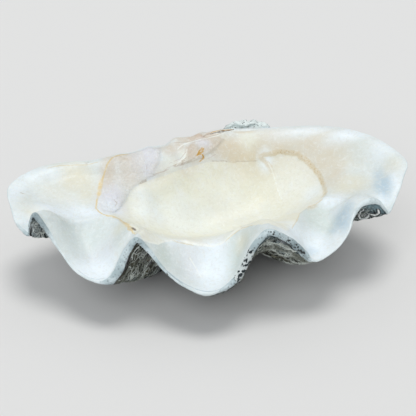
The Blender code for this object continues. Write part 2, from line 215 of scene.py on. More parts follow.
# Worm tubes
TUBE_SEED = 11
TUBES_ANYWHERE = 380
CROWDED = [(40, 228), (138, 262), (148, 266), (278, 246), (296, 256)]
CROWD_REACH = 0.040
TUBES_IN_CROWD = 60
TUBES_OFF_LIP = 0.010  # metres kept free of tubes along the lip
TUBE_STEPS = (6, 22)
TUBE_RADIUS = (0.0006, 0.0013)
PALE_TUBES = (-0.30, -0.22)  # the x over which the tubes turn from pale to dull
TUBES_FROM_SIZE = 0.35  # of the lip: none on the older shell
ANYWHERE_OFF_LIP = 0.060  # metres from the lip from which tubes lie anywhere
TUBE_COLOURS = (  # name of the piece, dark, pale
    ("worm_tubes", (0.22, 0.235, 0.20), (0.66, 0.71, 0.67)),
    ("lime_loops", (0.86, 0.91, 0.91), (0.93, 0.96, 0.95)),
)

# Fine shape, laid on the grown surface, in metres. A grain is height, scale, octaves and seed of noise.
CRUST = ((0.0015, 45.0, 4, 2.0), (0.0010, 160.0, 3, 3.0))
LAMELLAE = (  # height, number while the lip grows e-fold, how much they waver, and the noise of that
    (0.0014, 34.0, 1.6, 14.0, 3, 1.0),
    (0.0007, 120.0, 2.2, 30.0, 3, 8.0),
)
CRUST_SINK = 0.0004
DEEPEST_CRUST = -0.0010
CRUST_OFF_LIP = 0.012
HOLLOW_WAVES = ((0.0009, 16.0, 3, 4.0), (0.0003, 60.0, 3, 5.0))
WAVES_OFF_LIP = 0.030
LIP_GRAIN = ((0.0006, 120.0, 3, 6.0),)
LIP_GRAIN_REACH = 0.006
MARKS_OFF_LIP = 0.004  # the hollow's marks have no height nearer to the lip
AREA_EDGE = 0.0015  # half the width of an area's edge
RAGGED_GRAIN = ((0.0030, 260.0, 3, 9.0),)

# Floor
FLOOR_HALF = 8.0
FLOOR_COLOUR = (0.75, 0.75, 0.745)

# Light
SKY_COLOUR = (0.96, 0.98, 1.0, 1.0)
SKY_STRENGTH = 0.45
SUNS = (  # name, strength on a level floor, degrees of its disc, the way its light comes from, colour
    ("key_light", 1.22, 24.0, (0.08, 0.03, 1.0), (1.0, 0.99, 0.97)),
    ("front_fill", 1.0, 50.0, (-0.35, -1.0, 0.85), (0.98, 0.99, 1.0)),
)


def closed_curve(points, count):
    """A smooth closed curve through the landmarks: a centripetal Catmull-Rom spline, at count points."""
    points = np.asarray(points, float)
    n = len(points)
    samples = []
    for i in range(n):
        a, b, c, d = (points[(i + k) % n] for k in (-1, 0, 1, 2))
        ta = 0.0
        tb = ta + np.linalg.norm(b - a) ** 0.5
        tc = tb + np.linalg.norm(c - b) ** 0.5
        td = tc + np.linalg.norm(d - c) ** 0.5
        t = np.linspace(tb, tc, SAMPLES_A_SPAN, endpoint=False)[:, None]
        ab = (tb - t) / (tb - ta) * a + (t - ta) / (tb - ta) * b
        bc = (tc - t) / (tc - tb) * b + (t - tb) / (tc - tb) * c
        cd = (td - t) / (td - tc) * c + (t - tc) / (td - tc) * d
        abc = (tc - t) / (tc - ta) * ab + (t - ta) / (tc - ta) * bc
        bcd = (td - t) / (td - tb) * bc + (t - tb) / (td - tb) * cd
        samples.append((tc - t) / (tc - tb) * abc + (t - tb) / (tc - tb) * bcd)
    curve = np.vstack(samples)
    curve = np.vstack([curve, curve[:1]])
    at = np.linspace(0, len(curve) - 1, count, endpoint=False)
    return np.stack([np.interp(at, np.arange(len(curve)), curve[:, k]) for k in range(3)], axis=1)


def unit(vectors):
    return vectors / np.maximum(np.linalg.norm(vectors, axis=-1, keepdims=True), 1e-12)


def smoothstep(low, high, value):
    t = np.clip((value - low) / (high - low), 0.0, 1.0)
    return t * t * (3.0 - 2.0 * t)


def turned(vectors, axis, angle):
    """The vectors turned about the axis by the angle, in radians."""
    axis = axis / np.linalg.norm(axis)
    along = (vectors @ axis)[..., None] * axis
    across = vectors - along
    return along + across * np.cos(angle) + np.cross(axis, across) * np.sin(angle)


def rim_frame(lip):
    """The way out of the shell at each point of the lip, and how much of a notch it is."""
    ahead = unit(np.roll(lip, -1, axis=0) - np.roll(lip, 1, axis=0))
    plan = np.stack([ahead[:, 1], -ahead[:, 0], np.zeros(len(lip))], axis=1)
    middle = lip.mean(axis=0)
    if np.sum(plan * (lip - middle)) < 0:
        plan = -plan
    out = unit(plan) - np.array([0.0, 0.0, RIM_LEAN])
    out = unit(out - np.sum(out * ahead, axis=1, keepdims=True) * ahead)
    reach = max(1, round(SMOOTHED_OUT_WAY * len(lip)))
    out = unit(sum(np.roll(out, k, axis=0) for k in range(-reach, reach + 1)))
    notch = np.zeros(len(lip))
    for x, y in NOTCHES:
        away = np.hypot(lip[:, 0] - x, lip[:, 1] - y)
        notch = np.maximum(notch, np.exp(-(away / NOTCH_REACH) ** 2))
    return out, notch


def rims(lip):
    """The outer and the inner edge of the lip."""
    out, notch = rim_frame(lip)
    outward = (NOTCH_EXTRA + RIM_THICKNESS * 0.5) * notch
    thickness = RIM_THICKNESS + NOTCH_EXTRA * notch
    for x, y, reach, further_out, thicker in RIM_SWELLS:
        near = np.exp(-(np.hypot(lip[:, 0] - x, lip[:, 1] - y) / reach) ** 2)
        outward += further_out * near
        thickness += thicker * near
    outer = lip + out * outward[:, None]
    return outer, outer - out * thickness[:, None]


def ledge(size):
    """How far a growth ledge stands out at this size of the lip."""
    edges = (0.0,) + LEDGES + (1.0,)
    step = int(np.searchsorted(edges, size)) - 1
    step = min(max(step, 0), len(edges) - 2)
    along = (size - edges[step]) / (edges[step + 1] - edges[step])
    height = 0.0 if step == len(edges) - 2 else LEDGE_STEP
    return height * along


def unfolded(lip):
    """The lip with its folds smoothed away."""
    reach = len(lip) // 8
    weights = np.hanning(2 * reach + 3)[1:-1]
    total = sum(w * np.roll(lip, k - reach, axis=0) for k, w in enumerate(weights))
    return total / weights.sum()


def side_rib_belly(x):
    """How far a rib beside the middle one swells beyond the others, from the x of its lip."""
    rib = smoothstep(*SIDE_RIBS_START, np.abs(x)) * (1.0 - smoothstep(*SIDE_RIBS_END, np.abs(x)))
    return rib * np.where(x > 0.0, RIGHT_RIB_BELLY, LEFT_RIB_BELLY)


def grown(lip, size):
    """The lip at an earlier size, as a share of today's."""
    from_hinge = np.linalg.norm(np.cross(lip - UMBO, unit(HINGE_AXIS)), axis=1)
    off_hinge = smoothstep(*OFF_HINGE, from_hinge)
    flattened = off_hinge * (1.0 - smoothstep(*FOLDS_APPEAR, size))
    young = lip + (unfolded(lip) - lip) * flattened[:, None]
    arm = turned(young - UMBO, HINGE_AXIS, -TURN_PER_E_FOLD * np.log(size))
    left_to_grow = 1.0 - size
    belly = BELLY + side_rib_belly(lip[:, 0]) * np.sqrt(left_to_grow)
    swell = off_hinge * size * left_to_grow * belly
    return UMBO + size * (1.0 + ledge(size) * off_hinge[:, None]) * arm + swell[:, None] * BELLY_WAY


def grid_faces(rings, around):
    return [(i * around + j, i * around + (j + 1) % around,
             (i + 1) * around + (j + 1) % around, (i + 1) * around + j)
            for i in range(rings - 1) for j in range(around)]


class OuterSide:
    """Finds the top of the thin shell, and of the outer side itself, under points of the plan."""

    def __init__(self, rim):
        sizes = np.geomspace(OUTER_SIZES[0], 1.0, RINGS_OF_FINE_SIDE)
        points = np.array([grown(rim, size) for size in sizes])
        across = np.gradient(points, axis=0)
        along = np.roll(points, -1, axis=1) - np.roll(points, 1, axis=1)
        inward = unit(np.cross(along, across))
        if inward[RINGS_OF_FINE_SIDE // 2:, :, 2].mean() < 0:
            inward = -inward
        way = np.linalg.norm(points - points[-1:], axis=2)[..., None]
        thickness = LEAST_THICKNESS + THICKENING * way
        faces = grid_faces(len(sizes), len(rim))
        self.bare = self.tree(points, faces)
        self.thin = self.tree(points + inward * thickness, faces)

    @staticmethod
    def tree(points, faces):
        return BVHTree.FromPolygons([Vector(p) for p in points.reshape(-1, 3)], faces)

    @staticmethod
    def heights(tree, plan):
        """The height of the first thing met from above at each point of the plan."""
        down = Vector((0.0, 0.0, -1.0))
        hits = [tree.ray_cast(Vector((x, y, 1.0)), down)[0] for x, y in plan]
        return np.array([NOTHING_BELOW if hit is None else hit.z for hit in hits])


class Landmarks:
    """A thin plate bent through landmarks: the height of the hollow over the plan."""

    def __init__(self, exact, near):
        points = np.vstack([exact, near])
        self.at = points[:, :2]
        n = len(points)
        give = np.concatenate([np.full(len(exact), LIP_GIVE), np.full(len(near), INSIDE_GIVE)])
        system = np.zeros((n + 3, n + 3))
        system[:n, :n] = self.kernel(self.at) + np.diag(give)
        system[:n, n] = 1.0
        system[:n, n + 1:] = self.at
        system[n:, :n] = system[:n, n:].T
        self.weights = np.linalg.solve(system, np.concatenate([points[:, 2], np.zeros(3)]))

    def kernel(self, plan):
        squared = np.sum((plan[:, None, :] - self.at[None, :, :]) ** 2, axis=2)
        return squared * np.log(squared + 1e-12) * 0.5

    def height(self, plan):
        n = len(self.at)
        return self.kernel(plan) @ self.weights[:n] + self.weights[n] + plan @ self.weights[n + 1:]


def hollow(inner_rim, outer_side, plate, way):
    """One ring of the hollow: way is 1 at the lip and 0 on the middle line."""
    if way == 1.0:
        return inner_rim
    middle_x = np.clip(SPINE_AT[0] + SPINE_SHARE * inner_rim[:, 0], -SPINE_END, SPINE_END)
    middle = np.stack([middle_x, SPINE_AT[1] + SPINE_SLANT * middle_x], axis=1)
    plan = middle + way * (inner_rim[:, :2] - middle)
    from_rim = np.linalg.norm(plan - inner_rim[:, :2], axis=1)

    filled = plate.height(plan)
    filled += BROW_HEIGHT * (np.exp(-distance_to_path(plan, BROW[:, :2]) / BROW_WIDTH) - BROW_SINK)
    filled += TOOTH_HEIGHT * np.exp(-(distance_to_path(plan, TOOTH) / TOOTH_WIDTH) ** 2)

    thin = outer_side.heights(outer_side.thin, plan)
    bare = outer_side.heights(outer_side.bare, plan)
    left_rim = smoothstep(0.0, BLEND_DEPTH, from_rim)
    on_lobes = thin + left_rim * (filled - thin)
    at_hinge = inner_rim[:, 2] + smoothstep(0.0, EDGE_DEPTH, from_rim) * (filled - inner_rim[:, 2])
    over_thin_shell = (thin > NOTHING_BELOW) & (inner_rim[:, 1] < HINGE_SIDE_FROM)
    height = np.where(over_thin_shell, on_lobes, at_hinge)
    least = LEAST_THICKNESS * np.minimum(1.0, left_rim / FULL_THICKNESS_BY)
    return np.column_stack([plan, np.maximum(height, bare + least)])


def rounded_lip(inner_rim, outer_rim):
    """Rings over the edge of the lip, from its inner edge to its outer edge, bulging out between them."""
    across = outer_rim - inner_rim
    ahead = np.roll(inner_rim, -1, axis=0) - np.roll(inner_rim, 1, axis=0)
    forward = unit(np.cross(ahead, across))
    growing = outer_rim - grown(outer_rim, JUST_YOUNGER)
    forward *= np.sign(np.sum(forward * growing, axis=1, keepdims=True))
    bulge = RIM_BULGE * np.linalg.norm(across, axis=1, keepdims=True)
    shares = [(i + 1) / (RIM_STEPS + 1) for i in range(RIM_STEPS)]
    return [inner_rim + share * across + math.sin(math.pi * share) * bulge * forward for share in shares]


def shell_rings():
    """Rings from the middle of the hollow to the umbo, in the part's frame, and where the lip's are."""
    outer_side = OuterSide(rims(closed_curve(LIP, POINTS_OF_FINE_LIP))[0])
    lip_edge = rims(closed_curve(LIP, POINTS_HOLDING_PLATE))[1]
    plate = Landmarks(lip_edge, np.vstack([BROW, SCOOPS, RIDGES, BASIN, BACK_WALL, HINGE_PLATE, ENDS]))
    outer_rim, inner_rim = rims(closed_curve(LIP, POINTS_AROUND))
    inside = [hollow(inner_rim, outer_side, plate, way) for way in INNER_WAYS[::-1]]
    edge = rounded_lip(inner_rim, outer_rim)
    outside = [grown(outer_rim, size) for size in OUTER_SIZES]
    rings = np.array(inside + edge + outside) + TO_PART
    return rings, len(inside), len(inside) + len(edge)


def ring_step(ring, inside_count, outside_start):
    """Every how many points of a full ring the mesh keeps."""
    if ring < inside_count:
        way, half, quarter = INNER_WAYS[inside_count - 1 - ring], HALVE_INSIDE_BELOW, QUARTER_INSIDE_BELOW
    elif ring >= outside_start:
        way, half, quarter = OUTER_SIZES[ring - outside_start], HALVE_OUTSIDE_BELOW, QUARTER_OUTSIDE_BELOW
    else:
        return 1
    if way < quarter:
        return 4
    return 2 if way < half else 1


def faces_between(first, second):
    """Faces between two rings of vertex numbers, the second as long as the first or half as long."""
    n = len(first)
    if len(second) == n:
        return [(first[j], first[(j + 1) % n], second[(j + 1) % n], second[j]) for j in range(n)]
    faces = []
    for j in range(n // 2):
        a, b, c = first[2 * j], first[2 * j + 1], first[(2 * j + 2) % n]
        left, right = second[j], second[(j + 1) % (n // 2)]
        faces += [(a, b, left), (b, right, left), (b, c, right)]
    return faces


def path_lengths(rings, start, way):
    """How far each point lies from the ring it starts at, along the rings in that way."""
    lengths = np.zeros(rings.shape[:2])
    ring = start + way
    while 0 <= ring < len(rings):
        lengths[ring] = lengths[ring - way] + np.linalg.norm(rings[ring] - rings[ring - way], axis=1)
        ring += way
    return lengths


class Shell:
    """The fine shell's vertices, faces, and what is known of each vertex.

    depth and reach are the ways from the lip into the hollow and over the outer side, size is the size of
    the lip that grew there, around the share of the way round, and side 0 in the hollow and 1 outside.
    """

    KNOWN = ("depth", "reach", "size", "around", "side")

    def __init__(self):
        rings, inside_count, outside_start = shell_rings()
        count = len(rings)
        steps = [ring_step(ring, inside_count, outside_start) for ring in range(count)]
        ends = np.cumsum([POINTS_AROUND // step for step in steps])
        numbers = np.split(np.arange(ends[-1]), ends[:-1])
        size = np.ones((count, POINTS_AROUND))
        size[outside_start:] = OUTER_SIZES[:, None]
        side = np.zeros((count, POINTS_AROUND))
        side[inside_count:outside_start] = np.linspace(*LIP_SIDE, outside_start - inside_count)[:, None]
        side[outside_start:] = 1.0
        grids = (path_lengths(rings, inside_count - 1, -1), path_lengths(rings, outside_start, 1), size,
                 np.tile(np.arange(POINTS_AROUND) / POINTS_AROUND, (count, 1)), side)
        for name, grid in zip(("points",) + self.KNOWN, (rings,) + grids):
            kept = [values[::step] for values, step in zip(grid, steps)]
            setattr(self, name, np.concatenate(kept))

        self.inner_rim = numbers[inside_count - 1]
        self.ragged = np.zeros(len(self.points))
        self.faces = [tuple(numbers[0])]
        self.is_inside = [True]
        self.is_bare = [False]
        for ring in range(count - 1):
            first, second = numbers[ring], numbers[ring + 1]
            if len(first) >= len(second):
                faces = faces_between(first, second)
            else:
                faces = [face[::-1] for face in faces_between(second, first)]
            self.faces += [tuple(int(v) for v in face) for face in faces]
            self.is_inside += [ring < inside_count] * len(faces)
            self.is_bare += [ring >= outside_start] * len(faces)
        last = numbers[-1]
        tip = len(self.points)
        self.faces += [(int(last[j]), int(last[(j + 1) % len(last)]), tip) for j in range(len(last))]
        self.is_inside += [False] * len(last)
        self.is_bare += [True] * len(last)
        self.points = np.vstack([self.points, self.points[last].mean(axis=0)])
        for name in self.KNOWN:
            values = getattr(self, name)
            setattr(self, name, np.append(values, values[-1]))


class View:
    """The photograph's camera, which can say where on the shell a point of its picture lies."""

    def __init__(self):
        self.ahead = (LOOK_AT - EYE).normalized()
        self.right = Vector((1.0, 0.0, 0.0))
        self.up = self.right.cross(self.ahead)
        self.tree = None

    def watch(self, points, faces):
        self.tree = BVHTree.FromPolygons([Vector(p) for p in points], faces)

    def pixels(self, points):
        """Where the points lie in the picture, across and down, and the height of a pixel there in metres."""
        arms = points - np.array(EYE)
        away = arms @ np.array(self.ahead)
        across = IMAGE_SIZE / 2 + FOCAL * (arms @ np.array(self.right)) / away
        down = IMAGE_SIZE / 2 - FOCAL * (arms @ np.array(self.up)) / away
        return across, down, away / FOCAL / math.cos(ELEVATION)

    def seen(self, pixel):
        """The point of the shell at this pixel."""
        across = (pixel[0] - IMAGE_SIZE / 2) / FOCAL
        down = (pixel[1] - IMAGE_SIZE / 2) / FOCAL
        way = self.ahead + across * self.right - down * self.up
        hit = self.tree.ray_cast(EYE, way.normalized())[0]
        if hit is None:
            raise ValueError(f"no shell at pixel {pixel}")
        return np.array(hit)

    def path(self, pixels):
        return [self.seen(pixel) for pixel in pixels]


def distance_to_stretch(points, a, b):
    """How far each point is from the straight stretch between a and b, in the plan or in space."""
    way = b - a
    share = np.clip((points - a) @ way / max(way @ way, NEARLY_NOTHING), 0.0, 1.0)
    return np.linalg.norm(points - a - share[:, None] * way, axis=1)


def distance_to_path(points, path):
    """How far each point is from a path of straight stretches."""
    return np.min([distance_to_stretch(points, a, b) for a, b in zip(path[:-1], path[1:])], axis=0)


def fractal(points, scale, octaves, seed):
    """Smooth noise of about -1 to 1 at the points, with features of about 1 / scale metres."""
    shift = Vector((seed * 7.1, seed * 3.7, -seed * 5.3))
    return np.array([noise.fractal(Vector(p) * scale + shift, 1.0, 2.0, octaves) for p in points])


def grain(points, layers):
    """Noise in metres, summed over layers of a height, a scale, octaves and a seed."""
    return sum(height * fractal(points, *kind) for height, *kind in layers)


# The edge of the hinge side and the bump of the umbo behind it, as pixels of the photograph's frame
CREST = [
    (88, 161.2), (97, 159.5), (104, 157.8), (111, 156.2), (118, 154.0), (129, 153.0), (134, 151.8),
    (141, 149.2), (147, 146.8), (158, 146.2), (164, 145.2), (169, 142.4), (172, 139.4), (176, 137.2),
    (184, 137.2), (192, 136.6), (196, 134.4), (201, 132.2), (207, 132.6), (214, 130.6), (221, 129.2),
    (229, 129.0), (236, 128.8), (250, 128.4), (262, 127.9), (276, 127.6),
]
CREST_FADE = 0.014  # metres from the lip within which the shift to the crest dies away
UMBO_CREST = [
    (186, 138), (222, 130), (227, 124.5), (233, 121.4), (239, 119.8), (246, 119.2), (253, 119.2),
    (259, 119.8), (264, 121.6), (268, 124.4), (272, 129), (292, 130),
]
UMBO_COLUMN = 2.0  # pixels: the width of the columns in which the umbo's own outline is found
UMBO_FADE = 14.0  # pixels below that outline at which the shift has died away
UMBO_BACK = 0.10  # the y beyond which a point can belong to the umbo
UMBO_FOOT = 140.0  # pixels down: taken for the umbo's outline in a column without it
UMBO_OFF_LIP = (0.002, 0.014)  # metres from the lip over which that shift sets in

LOWER_OUTLINE = [
    (12, 214), (20, 229), (28, 237), (33, 239.5), (40, 240.5), (47, 239.5), (51, 240), (55, 246), (60, 253),
    (66, 262.5), (72, 270.5), (80, 277.5), (88, 282), (96, 284.3), (104, 284.5), (115, 283.5), (122, 281.5),
    (135, 280), (145, 277.5), (153, 275), (160, 272.5), (168, 277.5), (175, 282.5), (185, 287.5),
    (193, 292), (200, 295), (208, 296), (215, 295.5), (222, 294), (230, 289.5), (236, 283.5), (242, 279),
    (245, 272), (248, 264), (252, 257), (258, 251), (262, 252.5), (270, 257), (280, 261.5), (290, 263),
    (300, 263), (306, 262), (311, 261), (317, 261), (324, 259.5), (332, 255.5), (340, 249.5), (347, 241),
    (352, 231), (355, 223), (362, 219.5), (370, 217.5), (380, 216), (388, 214.5), (393, 210), (398, 196),
]
OUTLINE_SOFTNESS = 1.5  # pixels above the outline from which the outer side is held back
OUTLINE_OFF_LIP = 0.008  # metres from the lip by which that is complete
OUTLINE_Y_UNTIL = 0.02  # the y up to which it is done

# Marks of the hollow, placed by pixels of the photograph's frame. A tint is a list of soft patches:
# across and down in pixels, half width and half depth in millimetres, strength.
PATCH_FADE = (0.20, 1.30)  # half sizes over which a patch dies away
TINTS = {
    # painted shade: greyer green on the scoops' steep walls and flanks that turn away from the light
    "sage": [
        (68, 234, 50, 70, 0.22), (84, 234, 55, 50, 0.25), (96, 228, 40, 30, 0.2), (318, 217, 35, 50, 0.7),
        (326, 225, 20, 40, 0.6), (234, 254, 18, 60, 0.9), (244, 240, 20, 30, 0.8),
        (164, 256, 20, 30, 0.8), (178, 265, 16, 30, 0.6), (120, 236, 16, 40, 0.5),
        (150, 250, 12, 25, 0.3),
    ],
    # tan stain and painted shade on the back wall below the hinge
    "tan": [
        (245, 155, 90, 30, 0.85), (272, 149, 80, 30, 0.7), (305, 148, 90, 34, 0.55),
        (325, 158, 50, 55, 0.5), (245, 132, 30, 6, 0.7), (332, 172, 30, 50, 0.45),
        (236, 145, 35, 22, 0.5), (250, 168, 80, 20, 0.25), (215, 166, 70, 12, 0.3),
    ],
    "straw": [
        (76, 180, 45, 40, 1), (86, 190, 30, 40, 0.8), (60, 190, 50, 40, 0.5), (35, 212, 28, 20, 0.7),
        (26, 202, 20, 30, 0.25), (350, 162, 65, 40, 0.35), (392, 165, 20, 30, 0.5),
        (350, 184, 45, 40, 0.8), (122, 226, 20, 20, 0.6), (242, 243, 12, 20, 0.6), (60, 166, 50, 12, 0.5),
    ],
    "greige": [
        (108, 170, 18, 50, 1), (124, 158, 30, 14, 0.9), (130, 168, 30, 40, 0.7), (192, 152, 22, 26, 1),
        (184, 140, 34, 10, 1), (200, 136, 22, 12, 1), (170, 149, 26, 22, 1), (179, 146, 16, 16, 1),
        (196, 138, 40, 12, 1), (168, 146, 20, 6, 0.4), (210, 146, 28, 18, 0.7), (160, 170, 30, 14, 0.5),
        (215, 140, 20, 10, 0.5), (180, 166, 30, 12, 0.7),
    ],
    "lavender": [
        (150, 155, 22, 30, 0.9), (148, 168, 16, 20, 0.8), (112, 202, 30, 36, 1), (203, 143, 18, 12, 0.8),
        (190, 262, 35, 50, 0.4), (98, 262, 35, 40, 0.5), (138, 160, 20, 30, 0.4),
    ],
    "peach": [
        (200, 135, 20, 8, 1), (194, 138, 20, 8, 0.7), (209, 133.5, 14, 6, 0.8), (190, 150, 10, 14, 0.4),
    ],
    # painted shade: the basin's front slope, darker as it turns away from the light
    "dim": [
        (222, 214, 50, 30, 1), (242, 218, 40, 30, 0.8), (266, 188, 30, 40, 0.7), (190, 214, 40, 20, 0.6),
        (270, 208, 30, 30, 0.6), (252, 200, 40, 30, 0.5),
    ],
    "honey": [
        (255, 183, 45, 60, 0.7), (262, 200, 30, 40, 0.4), (180, 178, 50, 12, 0.5),
        (166, 186, 30, 20, 0.5), (130, 222, 20, 20, 0.4), (285, 205, 30, 30, 0.4),
    ],
    "milk": [
        (248, 139, 22, 16, 0.8), (183, 156, 10, 12, 0.7), (172, 163, 20, 12, 0.6),
    ],
    # painted highlights: bluish white where light catches the scoops' floors, the lobe tips, the brow's upper
    # side and the top edge, with a streak down lobe C's scoop
    "frost": [
        (215, 268, 34, 80, 1), (96, 272, 40, 40, 1), (80, 272, 30, 30, 0.7), (318, 247, 30, 45, 1),
        (60, 212, 55, 18, 1), (88, 213, 45, 18, 1), (290, 236, 22, 22, 1), (342, 205, 22, 20, 0.9),
        (282, 222, 30, 14, 0.5), (305, 131, 90, 14, 0.8), (350, 133, 60, 20, 1), (384, 148, 40, 30, 0.7),
        (14, 190, 22, 40, 0.7), (110, 208, 24, 20, 0.8), (214.5, 262, 4.5, 50, 1),
        (312, 194, 20, 24, 0.6), (262, 212, 30, 24, 0.15), (332, 200, 30, 22, 0.9), (294, 232, 16, 20, 1),
        (395, 185, 16, 40, 0.8), (384, 200, 22, 16, 0.8), (265, 160, 18, 14, 0.9),
        (180, 218, 70, 40, 0.35), (150, 208, 40, 30, 0.6), (30, 175, 35, 16, 0.7),
        (208, 290, 30, 20, 0.8), (22, 225, 20, 30, 0.6), (340, 236, 20, 40, 0.5), (50, 172, 30, 20, 0.6),
        (165, 238, 30, 12, 0.5),
    ],
    # painted reflections: blue patches where the nacre mirrors the sky
    "blue": [
        (383, 186, 19, 34, 1), (379, 176, 12, 20, 0.6), (343, 219, 17, 34, 1), (347, 210, 13, 20, 0.8),
        (312, 252, 13, 14, 0.5), (338, 226, 16, 20, 0.7),
    ],
    "scar_tone": [
        (298, 157, 35, 24, 1), (312, 171, 26, 40, 1), (280, 154, 40, 16, 0.9), (306, 164, 30, 30, 1),
        (320, 182, 20, 30, 0.9), (264, 157, 20, 12, 0.6), (324, 192, 12, 30, 0.6),
        (308, 206, 22, 12, 0.6),
    ],
}
# Layers with a crisp edge: the step in metres across the edge, and the outline in pixels
AREAS = {
    "basin": (-0.0005, [
        (101, 216), (113, 217), (120, 219), (127, 224), (136, 233.5), (143, 240), (150, 243), (158, 244.5),
        (165, 241.5), (178, 240.5), (190, 244), (200, 246), (214, 247), (222, 244), (230, 238), (240, 230),
        (250, 226), (262, 224.5), (276, 226), (286, 231), (292, 228), (297, 220), (300, 213), (308, 207),
        (316, 204), (322, 200), (325, 193), (323, 185), (320, 178), (312, 168), (306, 163), (295, 155),
        (285, 153), (275, 154), (264, 157), (258, 161), (240, 161.5), (222, 161), (208, 162), (200, 164),
        (190, 167), (178, 171), (163, 176), (150, 180), (140, 184), (131, 191), (124, 203), (112, 214)]),
    "plate": (0.0009, [
        (131, 153.5), (119, 155), (112, 158), (107, 165), (104, 175), (102, 186), (101, 195), (99, 205),
        (101, 214), (112, 213), (124, 202), (131, 190), (141, 181.5), (152, 176), (156, 168), (160, 158),
        (160, 148), (148, 148), (141, 151)]),
    "hinge_ridge": (0.0016, [
        (176, 165.5), (184, 159), (187, 150), (192, 142.5), (204, 139.5), (217, 136.5), (224, 139),
        (216, 148), (210, 153), (200, 158.5), (190, 161.5)]),
    "scar": (-0.0009, [
        (262, 157), (280, 153), (297, 155), (308, 164), (317, 174), (322, 184), (324, 193), (316, 204),
        (300, 213), (288, 214), (281, 200), (276, 180), (271, 166)]),
}
CRUST_TINTS = {  # round spots on the outer side, as those of the lip
    "moss": [
        (262, 250, 22, 0.9), (274, 256, 20, 1), (284, 258, 18, 0.9), (146, 271, 18, 0.9),
        (134, 262, 20, 0.6), (140, 250, 14, 0.5),
    ],
    "slate": [
        (266, 238, 20, 0.6), (278, 245, 22, 0.6), (292, 252, 18, 0.6), (378, 208, 20, 1),
        (368, 207, 14, 0.9), (38, 230, 30, 0.7),
    ],
    "sea": [
        (378, 207, 14, 1), (370, 205.8, 10, 0.8),
    ],
    "plum": [
        (147, 257, 9, 1), (150, 262, 8, 0.8),
    ],
    "rust": [
        (149, 258, 4, 1), (245, 264, 6, 0.9),
    ],
    "chalk": [
        (362, 215, 10, 0.8), (143, 254, 6, 0.6), (32, 229, 16, 0.55), (39, 232, 18, 0.4),
    ],
}
AREA_REACH = 0.05  # metres from its edge beyond which an area says nothing
# A line is a half width in metres and the pixels that it passes.
LINES = {
    "crack": [
        (0.0008, [(204, 136.4), (212, 133.6), (218, 132.2), (225, 131), (233, 129.6)]),
        (0.0024, [(220, 131.6), (223, 131)]),
        (0.0016, [(132, 227.6), (134.5, 229)]),
    ],
    "amber": [
        (0.0011, [
            (197.8, 153.6), (200, 150), (202.2, 147.8), (203.6, 148.6), (203.2, 151.2), (200.6, 153.2)]),
        (0.0014, [(203.2, 149), (202.6, 151.2)]),
        (0.0012, [(202, 155), (203.8, 157.2), (202.6, 159.2), (199.6, 161)]),
        (0.0008, [(196.6, 155.4), (198.6, 155)]),
        (0.001, [(212, 132.2), (220, 130.2), (232, 129.8)]),
    ],
    "gold": [
        (0.0012, [(128, 154.4), (118, 155.6), (112, 158), (107, 165), (104, 175), (101.5, 182)]),
        (0.003, [(101, 182), (100, 188), (99, 194)]),
        (0.0012, [(99, 194), (97, 200), (96, 208), (100, 213), (108, 216.5), (114, 217)]),
        (0.0026, [(114, 217.4), (120, 219.4), (127, 225), (131, 229)]),
        (0.0014, [(128, 229), (132, 231), (136, 233.5)]),
    ],
    "straw_line": [
        (0.0009, [(48, 168), (60, 165.5), (75, 165), (88, 165), (98, 162)]),
        (0.001, [(174, 241), (178, 242.5), (184, 243.4), (192, 245)]),
        (0.0009, [(226, 241), (234, 234), (242, 228), (252, 225.5)]),
        (0.001, [(322, 200), (316, 204), (308, 207), (300, 213), (297, 220), (292, 228)]),
    ],
    "mauve": [
        (0.0006, [(150, 176.5), (160, 173), (172, 168), (184, 163.6)]),
        (0.0006, [(165, 170), (178, 165.4), (190, 159.6)]),
        (0.0005, [(170, 163), (180, 159), (186, 152)]),
        (0.0005, [(144, 160), (147, 168), (143, 175)]),
        (0.0005, [(196, 161), (208, 158.6), (216, 154)]),
    ],
    "loops": [
        (0.0022, [
            (363.4, 209.6), (360, 212.4), (358.8, 215.4), (360.4, 218.4), (365, 218), (369, 214.8)]),
        (0.002, [(370.5, 213.6), (375, 215), (379, 212.8), (378, 209.6)]),
    ],
    "grey_edge": [
        (0.0022, [
            (143, 244.2), (148, 250.2), (154, 257.6), (160, 264.6), (166, 270.7), (173, 277.2),
            (181, 283.4)]),
    ],
    "slip": [
        (0.001, [
            (166, 270), (178, 279.6), (190, 286.6), (200, 290.4), (208, 291.6), (217, 290.4),
            (226, 285.6)]),
        (0.0006, [(78, 270), (88, 277.5), (98, 279.5), (105, 278)]),
    ],
    "umber": [
        (0.002, [(141, 182.5), (145, 181)]),
        (0.0007, [(152, 175), (163, 171.5), (178, 166.5), (190, 161.8), (204, 158)]),
        (0.0006, [(165, 169), (176, 164.5), (186, 158)]),
        (0.0006, [(212, 161), (225, 161), (240, 161.4), (256, 161)]),
        (0.0006, [(173, 143), (186, 142), (200, 138.6), (215, 135.4), (232, 131.4)]),
        (0.001, [(21.4, 193), (22.6, 193.6)]),
        (0.0009, [(86, 163.4), (87, 163.8)]),
        (0.0007, [(114, 200), (117, 203), (115, 206)]),
    ],
    "white": [
        (0.0012, [(269, 164), (272, 170), (274.5, 178), (277, 187), (281.5, 199)]),
        (0.0008, [(190, 258), (196, 268), (201, 277)]),
        (0.0007, [(160, 228), (163, 236), (168, 239)]),
        (0.0007, [(206, 236), (212, 243)]),
        (0.0016, [
            (143, 239.4), (150, 242.2), (158, 243.8), (165, 240.6), (178, 239.6), (190, 243.2),
            (200, 245.2), (214, 246.2), (222, 243.2), (230, 237.2)]),
        (0.0016, [(223, 224), (225, 234), (227, 243)]),
        (0.0012, [(178, 148.5), (183, 144.5), (192, 141.6), (204, 138.6), (215, 136.4), (233, 130.6)]),
        (0.0012, [(178, 163), (184, 158.4), (187, 150)]),
    ],
}
FAR_FROM_LINE = 50.0  # half widths: nothing further off is told apart
